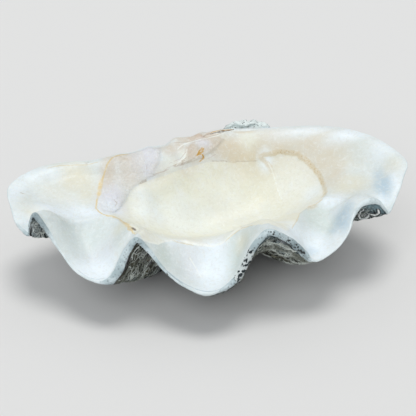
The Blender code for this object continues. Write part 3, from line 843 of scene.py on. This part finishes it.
# Cusps of the surface: height, width, pixels
CREASES = [
    (0.0030, 0.006, [(46, 217.6), (60, 221.4), (72, 223.2), (84, 221.6), (95, 219.6), (112, 217.2)]),
    (0.0012, 0.005, [(298, 224), (301, 214), (309, 206), (325, 200), (345, 203)]),
    (0.0008, 0.004, [(143, 240), (158, 244.5), (178, 240.5), (200, 246), (214, 247), (230, 238), (250, 226)]),
    (0.0010, 0.005, [(152, 174), (163, 170.5), (178, 165.5), (190, 161), (204, 157.4)]),
    (0.0012, 0.004, [(214.5, 248), (214.6, 264), (214.4, 280)]),
    (0.0008, 0.003, [(176, 163), (184, 156), (189, 147), (196, 141)]),
]
PITS = [((200.5, 148.5), 0.0030, 0.0030), ((201, 157), 0.0028, 0.0024), ((133, 228), 0.0022, 0.0030)]
RAGGED = [(248, 256), (244.5, 263), (242, 270), (240.5, 276)]  # a broken chunk on the rim
RAGGED_REACH = 0.011


def patch_mask(points, view, patches):
    """How strongly a tint shows at each point."""
    mask = np.zeros(len(points))
    for across, down, half_width, half_depth, strength in patches:
        off = points - view.seen((across, down))
        away = np.hypot(off[:, 0] / (half_width / 1000.0), off[:, 1] / (half_depth / 1000.0))
        mask = np.maximum(mask, strength * (1.0 - smoothstep(*PATCH_FADE, away)))
    return mask


def line_measure(points, view, lines):
    """How far each point is from the nearest line, in its half widths: plain, and signed by the side.

    The signed measure changes evenly across a line, so a line can be finer than the mesh.
    """
    nearest = np.full(len(points), FAR_FROM_LINE)
    signed = np.full(len(points), FAR_FROM_LINE)
    for half_width, pixels in lines:
        path = view.path(pixels)
        for a, b in zip(path[:-1], path[1:]):
            way = b - a
            away = distance_to_stretch(points, a, b) / half_width
            left = way[0] * (points[:, 1] - a[1]) - way[1] * (points[:, 0] - a[0])
            closer = away < nearest
            nearest[closer] = away[closer]
            signed[closer] = (away * np.where(left < 0.0, -1.0, 1.0))[closer]
    return nearest, signed


def inside_polygon(plan, corners):
    """Which points of the plan lie inside the closed outline."""
    inside = np.zeros(len(plan), bool)
    for a, b in zip(corners, np.roll(corners, -1, axis=0)):
        crosses = (a[1] > plan[:, 1]) != (b[1] > plan[:, 1])
        slope = (b[0] - a[0]) / (b[1] - a[1] if b[1] != a[1] else NEARLY_NOTHING)
        inside ^= crosses & (plan[:, 0] < a[0] + slope * (plan[:, 1] - a[1]))
    return inside


def area_measure(points, view, pixels):
    """How far each point is inside the edge of an area, in metres."""
    corners = np.array(view.path(pixels))
    from_edge = np.minimum(distance_to_path(points, list(corners) + [corners[0]]), AREA_REACH)
    return np.where(inside_polygon(points[:, :2], corners[:, :2]), from_edge, -from_edge)


def moved_to_crest(shell, view):
    """Lifts the hinge side to its jagged crest, and gives the umbo behind it its outline."""
    x, y, pixel_height = view.pixels(shell.points)
    lip = shell.points[shell.inner_rim]
    hinge_side = shell.inner_rim[lip[:, 1] > HINGE_SIDE_FROM]
    order = hinge_side[np.argsort(x[hinge_side])]
    own = np.interp(x, x[order], y[order])
    crest = np.interp(x, *zip(*CREST))
    within = (x > CREST[0][0]) & (x < CREST[-1][0]) & (shell.points[:, 1] > 0.0)
    fade = np.exp(-((shell.depth + shell.reach) / CREST_FADE) ** 2)
    shell.points[:, 2] += np.where(within, (own - crest) * pixel_height * fade, 0.0)

    x, y, _ = view.pixels(shell.points)
    umbo = np.interp(x, *zip(*UMBO_CREST))
    behind = (shell.side == 1.0) & (shell.points[:, 1] > UMBO_BACK)
    behind &= (x > UMBO_CREST[0][0]) & (x < UMBO_CREST[-1][0])
    columns = np.arange(UMBO_CREST[0][0], UMBO_CREST[-1][0] + UMBO_COLUMN, UMBO_COLUMN)
    tops = []
    for column in columns:
        here = behind & (np.abs(x - column) < UMBO_COLUMN)
        tops.append(y[here].min() if here.any() else UMBO_FOOT)
    own = np.interp(x, columns, tops)
    fade = np.exp(-((y - own) / UMBO_FADE) ** 2) * smoothstep(*UMBO_OFF_LIP, shell.reach)
    shell.points[:, 2] += np.where(behind, (own - umbo) * pixel_height * fade, 0.0)


def kept_above_outline(shell, view):
    """Lifts the parts of the outer side that would hang below the photograph's lower outline."""
    x, y, pixel_height = view.pixels(shell.points)
    in_front = (shell.side == 1.0) & (shell.points[:, 1] < OUTLINE_Y_UNTIL)
    limit = np.interp(x, *zip(*LOWER_OUTLINE)) - OUTLINE_SOFTNESS
    excess = np.maximum(y - limit, 0.0)
    settled = OUTLINE_SOFTNESS * (1.0 - np.exp(-excess / OUTLINE_SOFTNESS))
    lift = (excess - settled) * pixel_height * smoothstep(0.0, OUTLINE_OFF_LIP, shell.reach)
    shell.points[:, 2] += np.where(in_front, lift, 0.0)


def kept_thick(shell):
    """Lifts points of the hollow that lie nearer to the outer side than the thinnest shell."""
    bare = [face for face, is_bare in zip(shell.faces, shell.is_bare) if is_bare]
    tree = BVHTree.FromPolygons([Vector(p) for p in shell.points], bare)
    lowest = int(shell.points[:, 2].argmin())
    inwards = math.copysign(1.0, tree.find_nearest(Vector(shell.points[lowest]))[1].z)
    least = THINNEST * smoothstep(0.0, THINNEST_BY, shell.depth)
    for j in np.flatnonzero(shell.depth > 0.0):
        point = Vector(shell.points[j])
        near, normal, _, _ = tree.find_nearest(point, SOUGHT_WITHIN)
        if near is None:
            continue
        normal *= inwards
        height = (point - near).dot(normal)
        if height < least[j]:
            shell.points[j] += np.array(normal) * (least[j] - height)


def relief(shell, normals, view, areas):
    """The fine shape: growth lamellae and crust outside, soft waves, layer edges and pits inside."""
    points = shell.points
    crust = grain(points, CRUST)
    for height, per_e_fold, waver, *kind in LAMELLAE:
        age = -np.log(shell.size) * per_e_fold + fractal(points, *kind) * waver
        crust += height * (age - np.floor(age))
    crust = np.maximum(crust - CRUST_SINK, DEEPEST_CRUST)
    push = shell.side * smoothstep(0.0, CRUST_OFF_LIP, shell.reach) * crust

    off_lip = smoothstep(0.0, WAVES_OFF_LIP, shell.depth)
    push += (1.0 - shell.side) * off_lip * grain(points, HOLLOW_WAVES)
    lip = np.exp(-np.minimum(shell.depth + shell.reach, 1.0) / LIP_GRAIN_REACH)
    push += lip * grain(points, LIP_GRAIN)

    in_hollow = (shell.side < 0.5) & (shell.depth > MARKS_OFF_LIP)
    for name, (step, _) in AREAS.items():
        push += in_hollow * step * smoothstep(-AREA_EDGE, AREA_EDGE, areas[name])
    for height, width, pixels in CREASES:
        push += in_hollow * height * np.exp(-distance_to_path(points, view.path(pixels)) / width)
    for pixel, radius, deep in PITS:
        away = np.linalg.norm(points - view.seen(pixel), axis=1)
        push -= in_hollow * deep * np.exp(-(away / radius) ** 2)
    push += shell.ragged * grain(points, RAGGED_GRAIN)
    moved = points + push[:, None] * normals
    moved[:, 2] = np.maximum(moved[:, 2], 0.0)
    return moved


class Tubes:
    """Tubes of lime laid on the surface: worm tubes that wander, and loops along given places."""

    SIDES = 6
    STEP = 0.0022  # metres
    FEWEST = 4  # places that a tube needs
    BETWEEN = 4  # places for each stretch of a given path
    BEND_KEPT = 0.75  # from step to step
    BEND = 0.22  # radians a step
    THIN_END = 0.45  # of the radius at the other end
    RAISED = 0.45  # of the radius: how far its middle lies above the surface

    def __init__(self, points, faces, rng):
        self.tree = BVHTree.FromPolygons([Vector(p) for p in points], faces)
        self.rng = rng
        self.points = []
        self.faces = []

    def walk(self, start, steps):
        """Points and surface normals along a wandering path, which ends early at the surface's border."""
        path = []
        place, normal, _, _ = self.tree.find_nearest(Vector(start))
        heading = normal.orthogonal().normalized()
        heading.rotate(Quaternion(normal, self.rng.uniform(0.0, 2.0 * math.pi)))
        bend = 0.0
        for _ in range(steps):
            path.append((place.copy(), normal.copy()))
            bend = self.BEND_KEPT * bend + self.rng.normal(0.0, self.BEND)
            heading.rotate(Quaternion(normal, bend))
            place, normal, _, _ = self.tree.find_nearest(place + heading * self.STEP)
            if (place - path[-1][0]).length < self.STEP / 2:
                break
            heading = (heading - normal * heading.dot(normal)).normalized()
        return path

    def scatter(self, starts):
        """A wandering tube from each of these places."""
        for start in starts:
            steps = int(self.rng.integers(*TUBE_STEPS))
            radius = self.rng.uniform(*TUBE_RADIUS)
            self.sweep(self.walk(start, steps), radius)

    def lay(self, places, radius):
        """One tube that passes these places."""
        path = []
        for a, b in zip(places[:-1], places[1:]):
            for share in np.linspace(0.0, 1.0, self.BETWEEN, endpoint=False):
                path.append(self.tree.find_nearest(Vector(a + share * (b - a)))[:2])
        self.sweep(path, radius)

    def sweep(self, path, radius):
        """A tube along the path, thinner towards the end it began at, with closed ends."""
        steps = len(path)
        if steps < self.FEWEST:
            return
        base = len(self.points)
        for i, (place, normal) in enumerate(path):
            ahead = path[min(i + 1, steps - 1)][0] - path[max(i - 1, 0)][0]
            across = normal.cross(ahead).normalized()
            here = radius * (self.THIN_END + (1.0 - self.THIN_END) * i / (steps - 1))
            middle = place + normal * here * self.RAISED
            for k in range(self.SIDES):
                turn = 2.0 * math.pi * k / self.SIDES
                point = middle + here * (math.cos(turn) * across + math.sin(turn) * normal)
                self.points.append((point.x, point.y, max(point.z, 0.0)))
        last = base + (steps - 1) * self.SIDES
        self.faces += [tuple(base + v for v in face) for face in grid_faces(steps, self.SIDES)]
        self.faces.append(tuple(range(base, base + self.SIDES)))
        self.faces.append(tuple(range(last + self.SIDES - 1, last - 1, -1)))


def mesh_of(name, points, faces, smooth=True):
    mesh = bpy.data.meshes.new(name)
    mesh.from_pydata([tuple(p) for p in points], [], faces)
    mesh.update()
    mesh.polygons.foreach_set("use_smooth", [smooth] * len(mesh.polygons))
    return mesh


def with_faces_out(mesh):
    """Turns all faces outwards, and cuts the many-sided one in the middle of the hollow into triangles."""
    work = bmesh.new()
    work.from_mesh(mesh)
    bmesh.ops.recalc_face_normals(work, faces=work.faces[:])
    bmesh.ops.triangulate(work, faces=[face for face in work.faces if len(face.verts) > 4])
    work.to_mesh(mesh)
    work.free()


class Value:
    """What a node puts out over the surface. Values can be added, subtracted and multiplied."""

    def __init__(self, finish, socket):
        self.finish = finish
        self.socket = socket

    def __add__(self, other):
        return self.finish.math("ADD", self, other)

    def __sub__(self, other):
        return self.finish.math("SUBTRACT", self, other)

    def __rsub__(self, other):
        return self.finish.math("SUBTRACT", other, self)

    def __mul__(self, other):
        return self.finish.math("MULTIPLY", self, other)

    def __abs__(self):
        return self.finish.math("ABSOLUTE", self)


class Finish:
    """A material whose colour is laid on coat by coat and whose bumps are laid one on another."""

    def __init__(self, name):
        self.material = bpy.data.materials.new(name)
        self.material.use_nodes = True
        self.tree = self.material.node_tree
        self.place = self.node("ShaderNodeTexCoord", "Object")
        self.colour = None
        self.normal = None

    def finished(self, inputs):
        """Puts these values, the colour and the bumps on the shader, and returns the material."""
        sockets = self.tree.nodes["Principled BSDF"].inputs
        for key, value in inputs.items():
            self.put(sockets[key], value)
        self.put(sockets["Base Color"], self.colour)
        self.put(sockets["Normal"], self.normal)
        return self.material

    def node(self, kind, output, inputs=None, **settings):
        """Adds a node with these settings and inputs, and returns this output of it."""
        node = self.tree.nodes.new(kind)
        for key, value in settings.items():
            setattr(node, key, value)
        for key, value in (inputs or {}).items():
            self.put(node.inputs[key], value)
        return Value(self, node.outputs[output])

    def put(self, socket, value):
        if isinstance(value, Value):
            self.tree.links.new(value.socket, socket)
        elif isinstance(value, tuple) and len(value) == 3 and socket.type == "RGBA":
            socket.default_value = (*value, 1.0)
        elif value is not None:
            socket.default_value = value

    def attribute(self, name):
        return self.node("ShaderNodeAttribute", "Fac", attribute_name=name)

    def noise(self, scale, detail=4.0, roughness=0.55, distortion=0.0, where=None):
        return self.node("ShaderNodeTexNoise", "Fac", {
            "Vector": where or self.place, "Scale": scale, "Detail": detail, "Roughness": roughness,
            "Distortion": distortion})

    def cells(self, scale, feature="F1", where=None):
        inputs = {"Vector": where or self.place, "Scale": scale}
        return self.node("ShaderNodeTexVoronoi", "Distance", inputs, feature=feature)

    def warped(self, scale, amount):
        """The place on the object, moved about by noise."""
        kind = "ShaderNodeVectorMath"
        colour = self.node("ShaderNodeTexNoise", "Color", {"Vector": self.place, "Scale": scale})
        centred = self.node(kind, 0, {0: colour, 1: (0.5, 0.5, 0.5)}, operation="SUBTRACT")
        scaled = self.node(kind, 0, {0: centred, "Scale": amount}, operation="SCALE")
        return self.node(kind, 0, {0: self.place, 1: scaled}, operation="ADD")

    def math(self, operation, a, b=0.0, clamp=False):
        return self.node("ShaderNodeMath", 0, {0: a, 1: b}, operation=operation, use_clamp=clamp)

    def step(self, value, low, high, bottom=0.0, top=1.0):
        """A smooth change from bottom to top as the value goes from low to high."""
        return self.node("ShaderNodeMapRange", "Result", {
            "Value": value, "From Min": low, "From Max": high, "To Min": bottom, "To Max": top,
        }, interpolation_type="SMOOTHSTEP")

    def below(self, value, low, high, top=1.0):
        """A smooth change from top to nothing as the value goes from low to high."""
        return self.step(value, low, high, top, 0.0)

    def uneven(self, size, *noise):
        """Noise about zero, of this size from its lowest to its highest."""
        return (self.noise(*noise) - 0.5) * size

    def mix(self, share, first, second):
        """From the first colour to the second; sockets 6 and 7 are the two, and output 2 the colour."""
        return self.node("ShaderNodeMix", 2, {"Factor": share, 6: first, 7: second}, data_type="RGBA")

    def coat(self, share, tint):
        """Lays a tint over the colour, by this share."""
        self.colour = self.mix(share, self.colour, tint)

    def stain(self, name, strength, tint):
        """Lays a tint over the colour where the mesh says so."""
        self.coat(self.attribute(name) * strength, tint)

    def bump(self, height, distance, strength=1.0):
        """Lays bumps on those before them."""
        self.normal = self.node("ShaderNodeBump", "Normal", {
            "Height": height, "Distance": distance, "Strength": strength, "Normal": self.normal})


HOLLOW_TINTS = (  # under the layers: name, colour, strength
    # painted shade of the scoops
    ("sage", (0.57, 0.65, 0.60), 0.85),
    ("straw", (0.74, 0.71, 0.56), 0.80),
    # tan stain and painted shade of the back wall
    ("tan", (0.69, 0.58, 0.41), 0.88),
)
LAYER_TINTS = (  # the same, over the layers
    # painted shade of the basin's front
    ("dim", (0.70, 0.71, 0.65), 0.62),
    ("honey", (0.74, 0.72, 0.56), 0.70),
    # the same tan stain and painted shade, over the layers
    ("tan", (0.68, 0.60, 0.44), 0.50),
    ("greige", (0.64, 0.57, 0.47), 0.80),
    ("peach", (0.56, 0.44, 0.34), 0.85),
    ("lavender", (0.72, 0.73, 0.80), 0.85),
    ("milk", (0.80, 0.83, 0.74), 0.80),
    # painted highlights
    ("frost", (0.84, 0.92, 0.98), 0.80),
    # painted reflections of the sky
    ("blue", (0.46, 0.60, 0.70), 0.85),
)
HOLLOW_LINES = (  # name, colour, strength
    ("white", (0.88, 0.91, 0.86), 0.60),
    ("umber", (0.42, 0.33, 0.24), 0.60),
    ("straw_line", (0.68, 0.58, 0.36), 0.60),
    ("gold", (0.74, 0.56, 0.24), 0.75),
    ("mauve", (0.50, 0.42, 0.40), 0.60),
    ("grey_edge", (0.28, 0.36, 0.39), 0.90),
    ("slip", (0.46, 0.57, 0.63), 0.80),
    ("amber", (0.54, 0.30, 0.04), 0.95),
    ("crack", (0.10, 0.06, 0.04), 0.85),
)


def hollow_finish():
    """Porcelain-like white and cream, in layers with crisp edges, with the stains of this valve and painted
    shade, highlights and reflections.
    """
    f = Finish("porcelain")
    cloud = f.noise(9.0, 5.0, 0.6, 0.4)
    mottle = f.noise(36.0, 6.0, 0.65, 0.8)
    patchy = f.step(mottle, 0.30, 0.70, 0.80, 1.12)
    wobble = f.uneven(0.0045, 130.0, 4.0)

    # lays each tint where its mask says: the stains, and the painted shade, highlights and reflections of the
    # tables
    def stains_and_painted_light(tints):
        for name, tint, strength in tints:
            f.coat(f.math("MULTIPLY", f.attribute(name) * patchy, strength, clamp=True), tint)

    def layer(name, softness=0.0009):
        return f.step(f.attribute("area_" + name) + wobble, -softness, softness)

    f.colour = f.mix(f.step(cloud, 0.35, 0.65), (0.68, 0.745, 0.745), (0.74, 0.80, 0.81))
    stains_and_painted_light(HOLLOW_TINTS)
    f.coat(layer("plate", 0.0012) * 0.9, f.mix(patchy, (0.66, 0.66, 0.62), (0.73, 0.74, 0.72)))
    f.coat(layer("hinge_ridge") * 0.75, (0.64, 0.59, 0.53))
    cream = f.mix(f.step(cloud, 0.35, 0.62), (0.825, 0.82, 0.69), (0.835, 0.845, 0.75))
    cream = f.mix(f.step(mottle, 0.48, 0.66) * 0.5, cream, (0.85, 0.87, 0.83))
    f.coat(layer("basin") * 0.92, cream)
    f.coat(layer("scar", 0.0020) * 0.45, f.mix(patchy, (0.78, 0.79, 0.72), (0.82, 0.85, 0.82)))
    stains_and_painted_light(LAYER_TINTS)

    off_ring = abs(f.attribute("area_scar") + wobble * 1.4 + 0.0026)
    tone = f.attribute("scar_tone")
    f.coat(f.below(off_ring, 0.0022, 0.0068) * tone * 0.95, (0.56, 0.43, 0.22))
    dots = f.below(off_ring, 0.0030, 0.0065) * tone * f.step(f.cells(210.0), 0.16, 0.34)
    f.coat(dots * 0.40, (0.86, 0.84, 0.74))

    shift = f.uneven(1.6, 190.0, 3.0)
    broken = f.step(f.noise(95.0, 3.0), 0.30, 0.55, 0.45, 1.0)
    for name, tint, strength in HOLLOW_LINES:
        share = f.below(abs(f.attribute("across_" + name) + shift), 0.5, 1.9) * broken
        f.coat(share * f.below(f.attribute("from_" + name), 2.6, 4.0) * strength, tint)
    f.coat(f.step(f.noise(140.0, 6.0, 0.75, 0.6), 0.50, 0.62) * 0.30, (0.86, 0.90, 0.90))
    dull = f.noise(170.0, 6.0, 0.75, 0.6, f.warped(20.0, 0.02))
    f.coat(f.below(dull, 0.40, 0.50, 0.22), (0.62, 0.60, 0.52))
    specks = f.below(f.cells(300.0), 0.05, 0.09) * f.step(f.noise(40.0, 2.0), 0.64, 0.72)
    f.coat(specks * 0.35, (0.45, 0.40, 0.34))

    f.bump(f.noise(30.0, 4.0, 0.5), 0.0012)
    f.bump(mottle, 0.0010, 0.6)
    ridged = f.math("MAXIMUM", layer("plate", 0.004), layer("hinge_ridge", 0.004))
    f.bump(f.noise(120.0, 5.0, 0.6, 1.2) * ridged, 0.0022)
    f.bump(f.noise(150.0, 5.0, 0.65), 0.0004)
    return f.finished({
        "Roughness": f.step(cloud, 0.3, 0.7, 0.34, 0.52), "Specular IOR Level": 0.35,
        "Subsurface Weight": 0.12, "Subsurface Radius": (0.006, 0.005, 0.004), "Subsurface Scale": 1.0})


def outside_finish():
    """Chalky slate crust with dark gaps and pale trails, white along the thin lip and by the umbo."""
    f = Finish("weathered_outside")
    reach = f.attribute("reach")
    side = f.attribute("side")
    by_umbo = f.attribute("by_umbo")
    cloud = f.noise(13.0, 5.0, 0.65, 0.5)
    along = {"X": f.attribute("around") * 50.0, "Y": reach * 300.0 + cloud * 12.0}
    striae = f.noise(1.0, 3.0, 0.55, 0.6, f.node("ShaderNodeCombineXYZ", 0, along))
    open_air = 1.0 - f.attribute("sheltered")

    f.colour = f.mix(f.step(cloud, 0.35, 0.65), (0.048, 0.056, 0.054), (0.12, 0.15, 0.158))
    olive = f.step(f.noise(8.0, 4.0, 0.6), 0.48, 0.60) * 0.5
    f.coat(f.math("MAXIMUM", olive, f.attribute("moss")), (0.15, 0.137, 0.075))
    f.stain("slate", 0.9, (0.09, 0.145, 0.17))
    purple = f.step(f.noise(17.0, 3.0, 0.5), 0.62, 0.70) * 0.45
    f.coat(f.math("MAXIMUM", purple, f.attribute("plum")), (0.36, 0.33, 0.42))
    bleached = f.mix(f.step(f.noise(32.0, 5.0, 0.7), 0.35, 0.65), (0.24, 0.25, 0.225), (0.50, 0.53, 0.50))
    f.coat(open_air * f.step(cloud, 0.36, 0.56, 0.45, 0.95), bleached)
    f.coat(f.step(striae, 0.54, 0.60, 0.0, 0.75), (0.50, 0.56, 0.55))
    trails = f.cells(105.0, "DISTANCE_TO_EDGE", f.warped(60.0, 0.020))
    worn = f.step(f.noise(28.0, 3.0), 0.50, 0.64, 0.05, 0.90)
    f.coat(f.below(trails, 0.02, 0.07, 0.9) * worn, (0.66, 0.68, 0.58))
    f.stain("slate", 0.62, (0.15, 0.25, 0.29))
    f.stain("moss", 0.45, (0.12, 0.11, 0.06))
    f.stain("chalk", 0.9, (0.80, 0.84, 0.84))
    in_gaps = 0.97 - open_air * 0.70
    f.coat(f.below(striae, 0.41, 0.47) * in_gaps, (0.012, 0.014, 0.013))
    f.coat(f.below(f.noise(120.0, 4.0, 0.7, 1.0), 0.36, 0.42) * in_gaps, (0.012, 0.012, 0.011))
    f.stain("rust", 0.8, (0.30, 0.06, 0.05))
    f.stain("sea", 0.65, (0.33, 0.50, 0.56))
    off_loop = abs(f.attribute("across_loops"))
    by_loop = f.below(f.attribute("from_loops"), 2.2, 2.8)
    f.coat(f.below(off_loop, 1.3, 2.4, 0.85) * by_loop, (0.02, 0.025, 0.028))
    f.coat(f.below(off_loop, 0.6, 1.1) * by_loop, (0.84, 0.88, 0.87))

    old = f.step(by_umbo + f.uneven(2.4, 38.0, 6.0, 0.75), 0.20, 0.75)
    f.coat(old * 0.92, (0.82, 0.90, 0.89))
    pores = f.below(f.cells(165.0, where=f.warped(80.0, 0.012)), 0.18, 0.34, 0.80)
    pores = pores * f.step(f.noise(50.0, 3.0), 0.36, 0.50)
    f.coat(pores * old, (0.13, 0.14, 0.14))

    edge = f.below(reach + f.uneven(0.006, 110.0, 5.0, 0.65) - f.attribute("margin"), -0.0004, 0.0010)
    edge = f.math("MAXIMUM", edge, f.below(side, 0.70, 0.95))
    f.coat(edge, lip_colour(f, side))
    chunk = f.step(f.cells(190.0, where=f.warped(120.0, 0.008)), 0.48, 0.56)
    broken = f.mix(chunk, (0.03, 0.04, 0.045), (0.62, 0.68, 0.68))
    f.coat(f.step(f.attribute("ragged"), 0.25, 0.45), broken)

    crusty = (1.0 - edge) * (1.0 - by_umbo)
    f.bump(f.noise(90.0, 6.0, 0.7, 0.4), 0.0022)
    f.bump(striae * (crusty * (1.0 - open_air * 0.65)), 0.0050)
    f.bump(f.below(trails, 0.0, 0.14) * crusty, 0.0015)
    f.bump(f.noise(240.0, 5.0, 0.7), 0.0008)
    return f.finished({"Roughness": 0.85, "Specular IOR Level": 0.3})


def lip_colour(f, side):
    """The pale edge of the lip: whiter where it is thin, pitted and darker in places."""
    band = f.attribute("band")
    pitted = f.attribute("pitted")
    patchy = f.step(f.noise(60.0, 4.0), 0.4, 0.6)
    thin_lip = f.mix(patchy, (0.70, 0.79, 0.80), (0.80, 0.88, 0.90))
    thick_lip = f.mix(patchy, (0.44, 0.54, 0.57), (0.62, 0.72, 0.75))
    pale = f.mix(f.attribute("darker") * 0.75, f.mix(band, thin_lip, thick_lip), (0.20, 0.26, 0.28))
    outer_half = f.step(side, 0.40, 0.95)
    to_pit = f.cells(215.0, where=f.warped(90.0, 0.004)) - pitted * outer_half * 0.20
    fine_pits = f.below(f.cells(330.0, where=f.warped(120.0, 0.003)), 0.26, 0.40, 0.9)
    fine_pits = fine_pits * (f.step(pitted, 0.5, 0.8) * outer_half)
    pits = f.math("MAXIMUM", f.below(to_pit, 0.24, 0.36), fine_pits)
    share = f.math("ADD", band * 0.35, pitted, clamp=True)
    return f.mix(pits * share * f.step(side, 0.25, 0.70), pale, (0.05, 0.055, 0.055))


def tube_finish(name, dark, pale):
    """Chalky tubes, dull and pale by noise, paler at the left, darker here and there."""
    f = Finish(name)
    f.colour = f.mix(f.step(f.noise(35.0, 4.0), 0.40, 0.60), dark, pale)
    x = f.node("ShaderNodeSeparateXYZ", "X", {0: f.place})
    f.coat(f.below(x, *PALE_TUBES, 0.5), (0.74, 0.80, 0.78))
    f.coat(f.step(f.noise(300.0, 4.0, 0.7), 0.55, 0.68, 0.0, 0.7), (0.07, 0.07, 0.06))
    f.bump(f.noise(350.0, 4.0, 0.7), 0.0005)
    return f.finished({"Roughness": 0.8, "Specular IOR Level": 0.3})


def spots(points, view, marks):
    """The strongest of the round spots at each point."""
    share = np.zeros(len(points))
    for across, down, reach, strength in marks:
        away = np.linalg.norm(points - view.seen((across, down)), axis=1)
        share = np.maximum(share, strength * np.exp(-(away / (reach / 1000.0)) ** 2))
    return share


def lip_attributes(shell, view):
    """How the edge of the lip looks: like a thick one, pitted, darker, and how far it stays pale."""
    facts = {name: spots(shell.points, view, marks) for name, marks in LIP_SPOTS.items()}
    lip = closed_curve(LIP, POINTS_AROUND)
    outer, inner = rims(lip)
    thickness = np.linalg.norm(outer - inner, axis=1)
    _, notch = rim_frame(lip)
    column = np.rint(shell.around * POINTS_AROUND).astype(int) % POINTS_AROUND
    band = smoothstep(*THICK_LIP, thickness)[column]
    band *= 1.0 - WHITE_SHARE * smoothstep(*WHITE_RIM, shell.points[:, 0])
    facts["band"] = np.maximum(band, facts["band"])
    facts["margin"] = THIN_MARGIN + (THICK_MARGIN - THIN_MARGIN) * smoothstep(*NEAR_NOTCH, notch)[column]
    return facts


def linked(name, data):
    """A new object in the scene with this mesh, lamp or camera."""
    thing = bpy.data.objects.new(name, data)
    bpy.context.scene.collection.objects.link(thing)
    return thing


def build_shell():
    shell = Shell()
    view = View()
    moved_to_crest(shell, view)
    kept_above_outline(shell, view)
    kept_thick(shell)
    view.watch(shell.points, shell.faces)
    mesh = mesh_of("clam_valve", shell.points, shell.faces)
    for polygon, inside in zip(mesh.polygons, shell.is_inside):
        polygon.material_index = 0 if inside else 1
    with_faces_out(mesh)
    normals = np.zeros(len(shell.points) * 3, np.float32)
    mesh.vertices.foreach_get("normal", normals)

    broken_edge = distance_to_path(shell.points, view.path(RAGGED))
    shell.ragged = np.exp(-(broken_edge / RAGGED_REACH) ** 2) * (shell.side > 0.0)
    areas = {name: area_measure(shell.points, view, pixels) for name, (_, pixels) in AREAS.items()}
    moved = relief(shell, normals.reshape(-1, 3).astype(float), view, areas)
    mesh.vertices.foreach_set("co", moved.astype(np.float32).ravel())
    mesh.update()

    from_umbo = np.linalg.norm(shell.points - (UMBO + TO_PART), axis=1)
    facts = {name: getattr(shell, name) for name in ("reach", "around", "side", "ragged")}
    facts["by_umbo"] = 1.0 - smoothstep(*PALE_BY_UMBO, from_umbo)
    facts["sheltered"] = 1.0 - smoothstep(*SHELTERED_UNTIL, shell.points[:, 1])
    facts.update(lip_attributes(shell, view))
    for name, marks in CRUST_TINTS.items():
        facts[name] = spots(shell.points, view, marks) * (shell.side > 0.5)
    for name, patches in TINTS.items():
        facts[name] = patch_mask(shell.points, view, patches) * (shell.side < 0.5)
    for name, inside_by in areas.items():
        facts["area_" + name] = inside_by
    for name, lines in LINES.items():
        facts["from_" + name], facts["across_" + name] = line_measure(shell.points, view, lines)
    for name, values in facts.items():
        mesh.attributes.new(name, "FLOAT", "POINT").data.foreach_set("value", values.astype(np.float32))
    mesh.materials.append(hollow_finish())
    mesh.materials.append(outside_finish())
    valve = linked("clam_valve", mesh)
    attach(valve, "root")
    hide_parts("clam_shell")
    return shell, moved, view


def build_tubes(shell, moved, view):
    """Worm tubes on the outer side, crowded in the furrows that open into the notches."""
    rng = np.random.default_rng(TUBE_SEED)
    outside = (shell.side == 1.0) & (shell.reach > TUBES_OFF_LIP)
    tubes = Tubes(moved, [face for face in shell.faces if all(outside[j] for j in face)], rng)
    open_side = (shell.side == 1.0) & (shell.size > TUBES_FROM_SIZE)
    far_off_lip = np.flatnonzero(open_side & (shell.reach > ANYWHERE_OFF_LIP))
    tubes.scatter(moved[rng.choice(far_off_lip, TUBES_ANYWHERE, replace=False)])
    room = np.flatnonzero(outside & open_side)
    for middle in view.path(CROWDED):
        near = room[np.linalg.norm(moved[room] - middle, axis=1) < CROWD_REACH]
        tubes.scatter(moved[rng.choice(near, min(len(near), TUBES_IN_CROWD), replace=False)])
    loops = Tubes(moved, shell.faces, rng)
    for radius, pixels in LINES["loops"]:
        loops.lay(view.path(pixels), radius)
    for (name, dark, pale), laid in zip(TUBE_COLOURS, (tubes, loops)):
        mesh = mesh_of(name, laid.points, laid.faces)
        with_faces_out(mesh)
        mesh.materials.append(tube_finish(name, dark, pale))
        thing = linked(name, mesh)
        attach(thing, "root")


def build_floor():
    corners = [(x * FLOOR_HALF, y * FLOOR_HALF, 0.0) for x, y in ((-1, -1), (1, -1), (1, 1), (-1, 1))]
    mesh = mesh_of("floor", corners, [(0, 1, 2, 3)], smooth=False)
    f = Finish("pale_floor")
    f.colour = FLOOR_COLOUR
    mesh.materials.append(f.finished({"Roughness": 0.9, "Specular IOR Level": 0.0}))
    linked("floor", mesh)


def build_light():
    world = bpy.data.worlds.new("studio")
    world.use_nodes = True
    sky = world.node_tree.nodes["Background"].inputs
    sky["Color"].default_value = SKY_COLOUR
    sky["Strength"].default_value = SKY_STRENGTH
    bpy.context.scene.world = world
    for name, strength, angle, toward, colour in SUNS:
        sun = bpy.data.lights.new(name, "SUN")
        sun.energy = strength
        sun.angle = math.radians(angle)
        sun.color = colour
        lamp = linked(name, sun)
        lamp.rotation_mode = "QUATERNION"
        lamp.rotation_quaternion = Vector(toward).to_track_quat("Z", "Y")


def build_camera():
    data = bpy.data.cameras.new("camera")
    data.lens = LENS
    data.sensor_width = SENSOR
    camera = linked("camera", data)
    camera.location = EYE
    camera.rotation_euler = (math.radians(90.0) - ELEVATION, 0.0, 0.0)
    bpy.context.scene.camera = camera


def main():
    build_camera()
    build_light()
    build_floor()
    build_tubes(*build_shell())
    bpy.context.scene.view_settings.view_transform = "Standard"


main()
